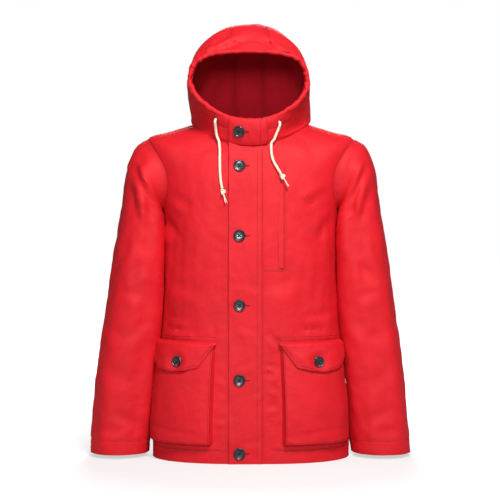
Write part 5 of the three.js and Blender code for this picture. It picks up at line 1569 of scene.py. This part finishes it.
def add_all_stitching(placket, tab, flaps, pockets):
    columns = [on_front(x, np.linspace(4, 658, 130), 5) for x in (14.9, 23.6)]
    add_stitches("placket_stitching", [laid_on(placket, line) for line in columns], blend_placket)
    ways = np.linspace(0.07, 0.93, 20)
    rows = [tab_point(np.full(20, x), ways, 6) for x in (20.0, 33.5)]
    add_stitches("tab_stitching", [laid_on(tab, row) for row in rows], blend_tab)
    by_name = bpy.data.objects
    front_lines = []
    for line in CHEST_STITCHING:
        x, z = np.array(line, float).T
        front_lines.append(laid_on(by_name["shell_front_left"], on_front(x, z, 4)))
    hem_turns = {"shell_front_left": (80, 1), "shell_front_right": (84, 179), "shell_back": (181, 359)}
    for piece, (start, end) in hem_turns.items():
        front_lines.append(laid_on(by_name[piece], on_body(np.linspace(start, end, 140), 27.0, 1)))
    for side, name in SIDES:
        panel = by_name["shell_front_" + name]
        for height in (258.5, 264.5):
            seam = on_body(pocket_turn(side, np.linspace(-0.05, 1.04, 60)), height, 2)
            front_lines.append(laid_on(panel, seam))
        turns, starts = SLEEVE_START[name]
        loop = sleeve_point(side, turns, starts)
        up = ARMHOLE + (loop[:, 2] - ARMHOLE) * 1.07
        spread = np.stack([loop[:, 0], loop[:, 1] * 1.07, up], 1)
        for chosen, piece in ((spread[:, 1] < -3, panel), (spread[:, 1] > 3, by_name["shell_back"])):
            part = spread[chosen]
            part = part[np.argsort(-part[:, 2] if piece is panel else part[:, 2])]
            part = part[part[:, 2] < 683]
            front_lines.append(laid_on(piece, smooth_path(part, 4)))
    for (side, name), pocket in zip(SIDES, pockets):
        border = np.array([(0.047, z) for z in np.linspace(240, 45, 60)]
                          + [(s, 45) for s in np.linspace(0.047, 0.975, 50)]
                          + [(0.975, z) for z in np.linspace(45, 240, 60)])
        front_lines.append(laid_on(pocket, on_body(pocket_turn(side, border[:, 0]), border[:, 1], 18)))
    add_stitches("body_stitching", front_lines, lambda p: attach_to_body(p, "torso"))
    for (side, name), flap in zip(SIDES, flaps):
        share = np.concatenate([np.full(6, 0.02), np.linspace(0.025, 0.975, 60), np.full(6, 0.98)])
        drop = flap_drop(share) - 5.5
        drop[:6], drop[-6:] = np.linspace(2, 14, 6), np.linspace(14, 2, 6)
        line = on_body(pocket_turn(side, share), FLAP_SEAM - drop, 26)
        add_stitches(f"pocket_flap_{name}_stitching", [laid_on(flap, line)], lambda p, n=name: blend_flap(p))
    hood_lines = []
    rim_turns = {k: np.linspace(e[0] + 0.6, e[1] - 0.6, 160 if k != "middle" else 50) for k, e in HOOD_EDGES.items()}
    for name, turns in rim_turns.items():
        way = way_after(turns[:, None], np.full((len(turns), 1), 25.0))[:, 0]
        hood_lines.append(laid_on(by_name["shell_hood_" + name], hood_point(turns, way)))
    for name, turn in (("left", CROWN - 1.9), ("middle", CROWN + 1.9), ("middle", 180 - CROWN - 1.9),
                       ("right", 180 - CROWN + 1.9)):
        way = np.linspace(0.09, 0.97, 120)
        hood_lines.append(laid_on(by_name["shell_hood_" + name], hood_point(np.full(120, turn), way)))
    add_stitches("hood_stitching", hood_lines, blend_hood)
    for side, name in SIDES:
        turns = np.linspace(0, 359, 150)
        line = sleeve_point(side, turns, np.full(150, 0.9575))
        add_stitches("cuff_stitching_" + name, [laid_on(by_name["shell_sleeve_" + name], line)],
                     lambda p, s=side, n=name: blend_sleeve(p))


# ---------------------------------------------------------------- inside the neck
def add_neck_trim():
    turns = np.linspace(200, 340, 60)
    rises = np.linspace(0.955, 0.995, 5)
    turn, rise = np.meshgrid(turns, rises, indexing="ij")
    here, out = body_frame(turn, rise)
    tape = slab("neck_tape_cloth", here - out * 6.3, here - out * 7.1, LINING,
                seam=seam_shade_grid(*turn.shape, 0, 0, 1, 1))
    on_torso(tape, "neck_tape")
    low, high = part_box("hanging_loop")
    x = np.linspace(low.x, high.x, 40) / MM
    middle = (low.x + high.x) / 2 / MM
    half = (high.x - low.x) / 2 / MM
    bow = 1 - ((x - middle) / half) ** 2
    top, bottom = high.z / MM, low.z / MM
    y0, y1 = high.y / MM, low.y / MM
    centre = np.stack([x, y0 - 1.2 + (y1 - y0 + 2.4) * bow, top - 4.5 - (top - bottom - 9) * bow], 1)
    across = np.linspace(-4, 4, 5)
    outer = centre[:, None, :] + np.stack([0 * across, 0 * across, across], 1)[None, :, :]
    inner = outer + np.array([0, 1.0, 0])
    loop = slab("hanging_loop_tape", outer, inner, LINING, seam=seam_shade_grid(40, 5, 0, 0, 0.7, 0.7))
    on_torso(loop, "hanging_loop")


PLACKET = add_placket()
TAB = add_tab()
POCKET_LEFT, FLAP_LEFT = add_pocket(1, "left")
POCKET_RIGHT, FLAP_RIGHT = add_pocket(-1, "right")
add_chest_pocket()
for button_name, (button_at, button_out) in BUTTONS.items():
    add_button(button_name, np.array(button_at), button_out)
add_eyelet("left")
add_eyelet("right")
add_buttonholes(PLACKET, "placket", [f"front_button_{k}" for k in range(1, 6)], (1, 0, 0), blend_placket)
add_buttonholes(TAB, "tab", ["throat_button"], (1, 0, 0), blend_tab)
for flap_piece, flap_name in ((FLAP_LEFT, "left"), (FLAP_RIGHT, "right")):
    add_buttonholes(flap_piece, "flap_" + flap_name, ["pocket_button_" + flap_name], (0, 0, 1),
                    lambda p, n=flap_name: blend_flap(p))
add_all_stitching(PLACKET, TAB, (FLAP_LEFT, FLAP_RIGHT), (POCKET_LEFT, POCKET_RIGHT))
add_neck_trim()


# ---------------------------------------------------------------- floor and light
def add_stage():
    size = 40.0  # half the floor's width, in metres
    mesh = bpy.data.meshes.new("floor")
    z = CAD_BOX[0].z - 0.0005
    mesh.from_pydata([(-size, -size, z), (size, -size, z), (size, size, z), (-size, size, z)], [], [(0, 1, 2, 3)])
    floor = new_object("floor", mesh)
    material, tree, shader = new_finish("white_paper_painted_glow")
    # The paper has a painted glow, seen only by the camera, that makes it white all over; the glow is painted weaker
    # near the jacket, a painted shade there, so that it is white all over but for a soft shadow.
    shader.inputs["Base Color"].default_value = linear("#a8a8a8")
    shader.inputs["Roughness"].default_value = 0.95
    shader.inputs["Specular IOR Level"].default_value = 0.1
    place = add_node(tree, "ShaderNodeTexCoord").outputs["Object"]
    # Painted shade: the glow is about half as strong within 0.35 m of the jacket's middle as it is 1 m away.
    away = add_node(tree, "ShaderNodeVectorMath", {0: place}, operation="LENGTH").outputs["Value"]
    glow_weaker_near_jacket = add_node(tree, "ShaderNodeMapRange", {"Value": away, "From Min": 0.35, "From Max": 1.0, "To Min": 0.56,
                                                   "To Max": 1.0}).outputs["Result"]
    seen = add_node(tree, "ShaderNodeLightPath").outputs["Is Camera Ray"]
    painted_glow = add_node(tree, "ShaderNodeMath", {0: glow_weaker_near_jacket, 1: seen}, operation="MULTIPLY").outputs["Value"]
    light = add_node(tree, "ShaderNodeEmission", {"Color": (1, 1, 1, 1), "Strength": painted_glow}).outputs[0]
    whole = add_node(tree, "ShaderNodeAddShader", {0: shader.outputs[0], 1: light}).outputs[0]
    tree.links.new(whole, tree.nodes["Material Output"].inputs["Surface"])
    mesh.materials.append(material)
    scene = bpy.context.scene
    scene.view_settings.view_transform = "Standard"
    world = bpy.data.worlds.new("studio")
    world.use_nodes = True
    # A white room: it looks paper white from anywhere, and lights the cloth less than that.
    tree = world.node_tree
    lit = tree.nodes["Background"]
    lit.inputs["Color"].default_value = (1, 1, 1, 1)
    lit.inputs["Strength"].default_value = 0.17
    seen = add_node(tree, "ShaderNodeBackground", {"Color": (1, 1, 1, 1), "Strength": 1.0})
    direct = add_node(tree, "ShaderNodeLightPath").outputs["Is Camera Ray"]
    both = add_node(tree, "ShaderNodeMixShader", {0: direct, 1: lit.outputs[0], 2: seen.outputs[0]})
    tree.links.new(both.outputs[0], tree.nodes["World Output"].inputs["Surface"])
    scene.world = world


def add_softbox(name, at, towards, size, power_w):
    light = bpy.data.lights.new(name, "AREA")
    light.shape = "DISK"
    light.size = size
    light.energy = power_w
    lamp = new_object(name, light)
    lamp.location = at
    lamp.rotation_euler = (Vector(towards) - Vector(at)).to_track_quat("-Z", "Y").to_euler()


add_stage()
add_softbox("top_softbox", (0.5, -1.95, 2.4), (0, 0, 0.6), 0.8, 71)
add_softbox("front_softbox", (-0.1, -3.2, 1.0), (0, 0, 0.6), 0.7, 42)
add_softbox("back_softbox", (0, 2.6, 1.9), (0, 0, 0.5), 1.5, 72)
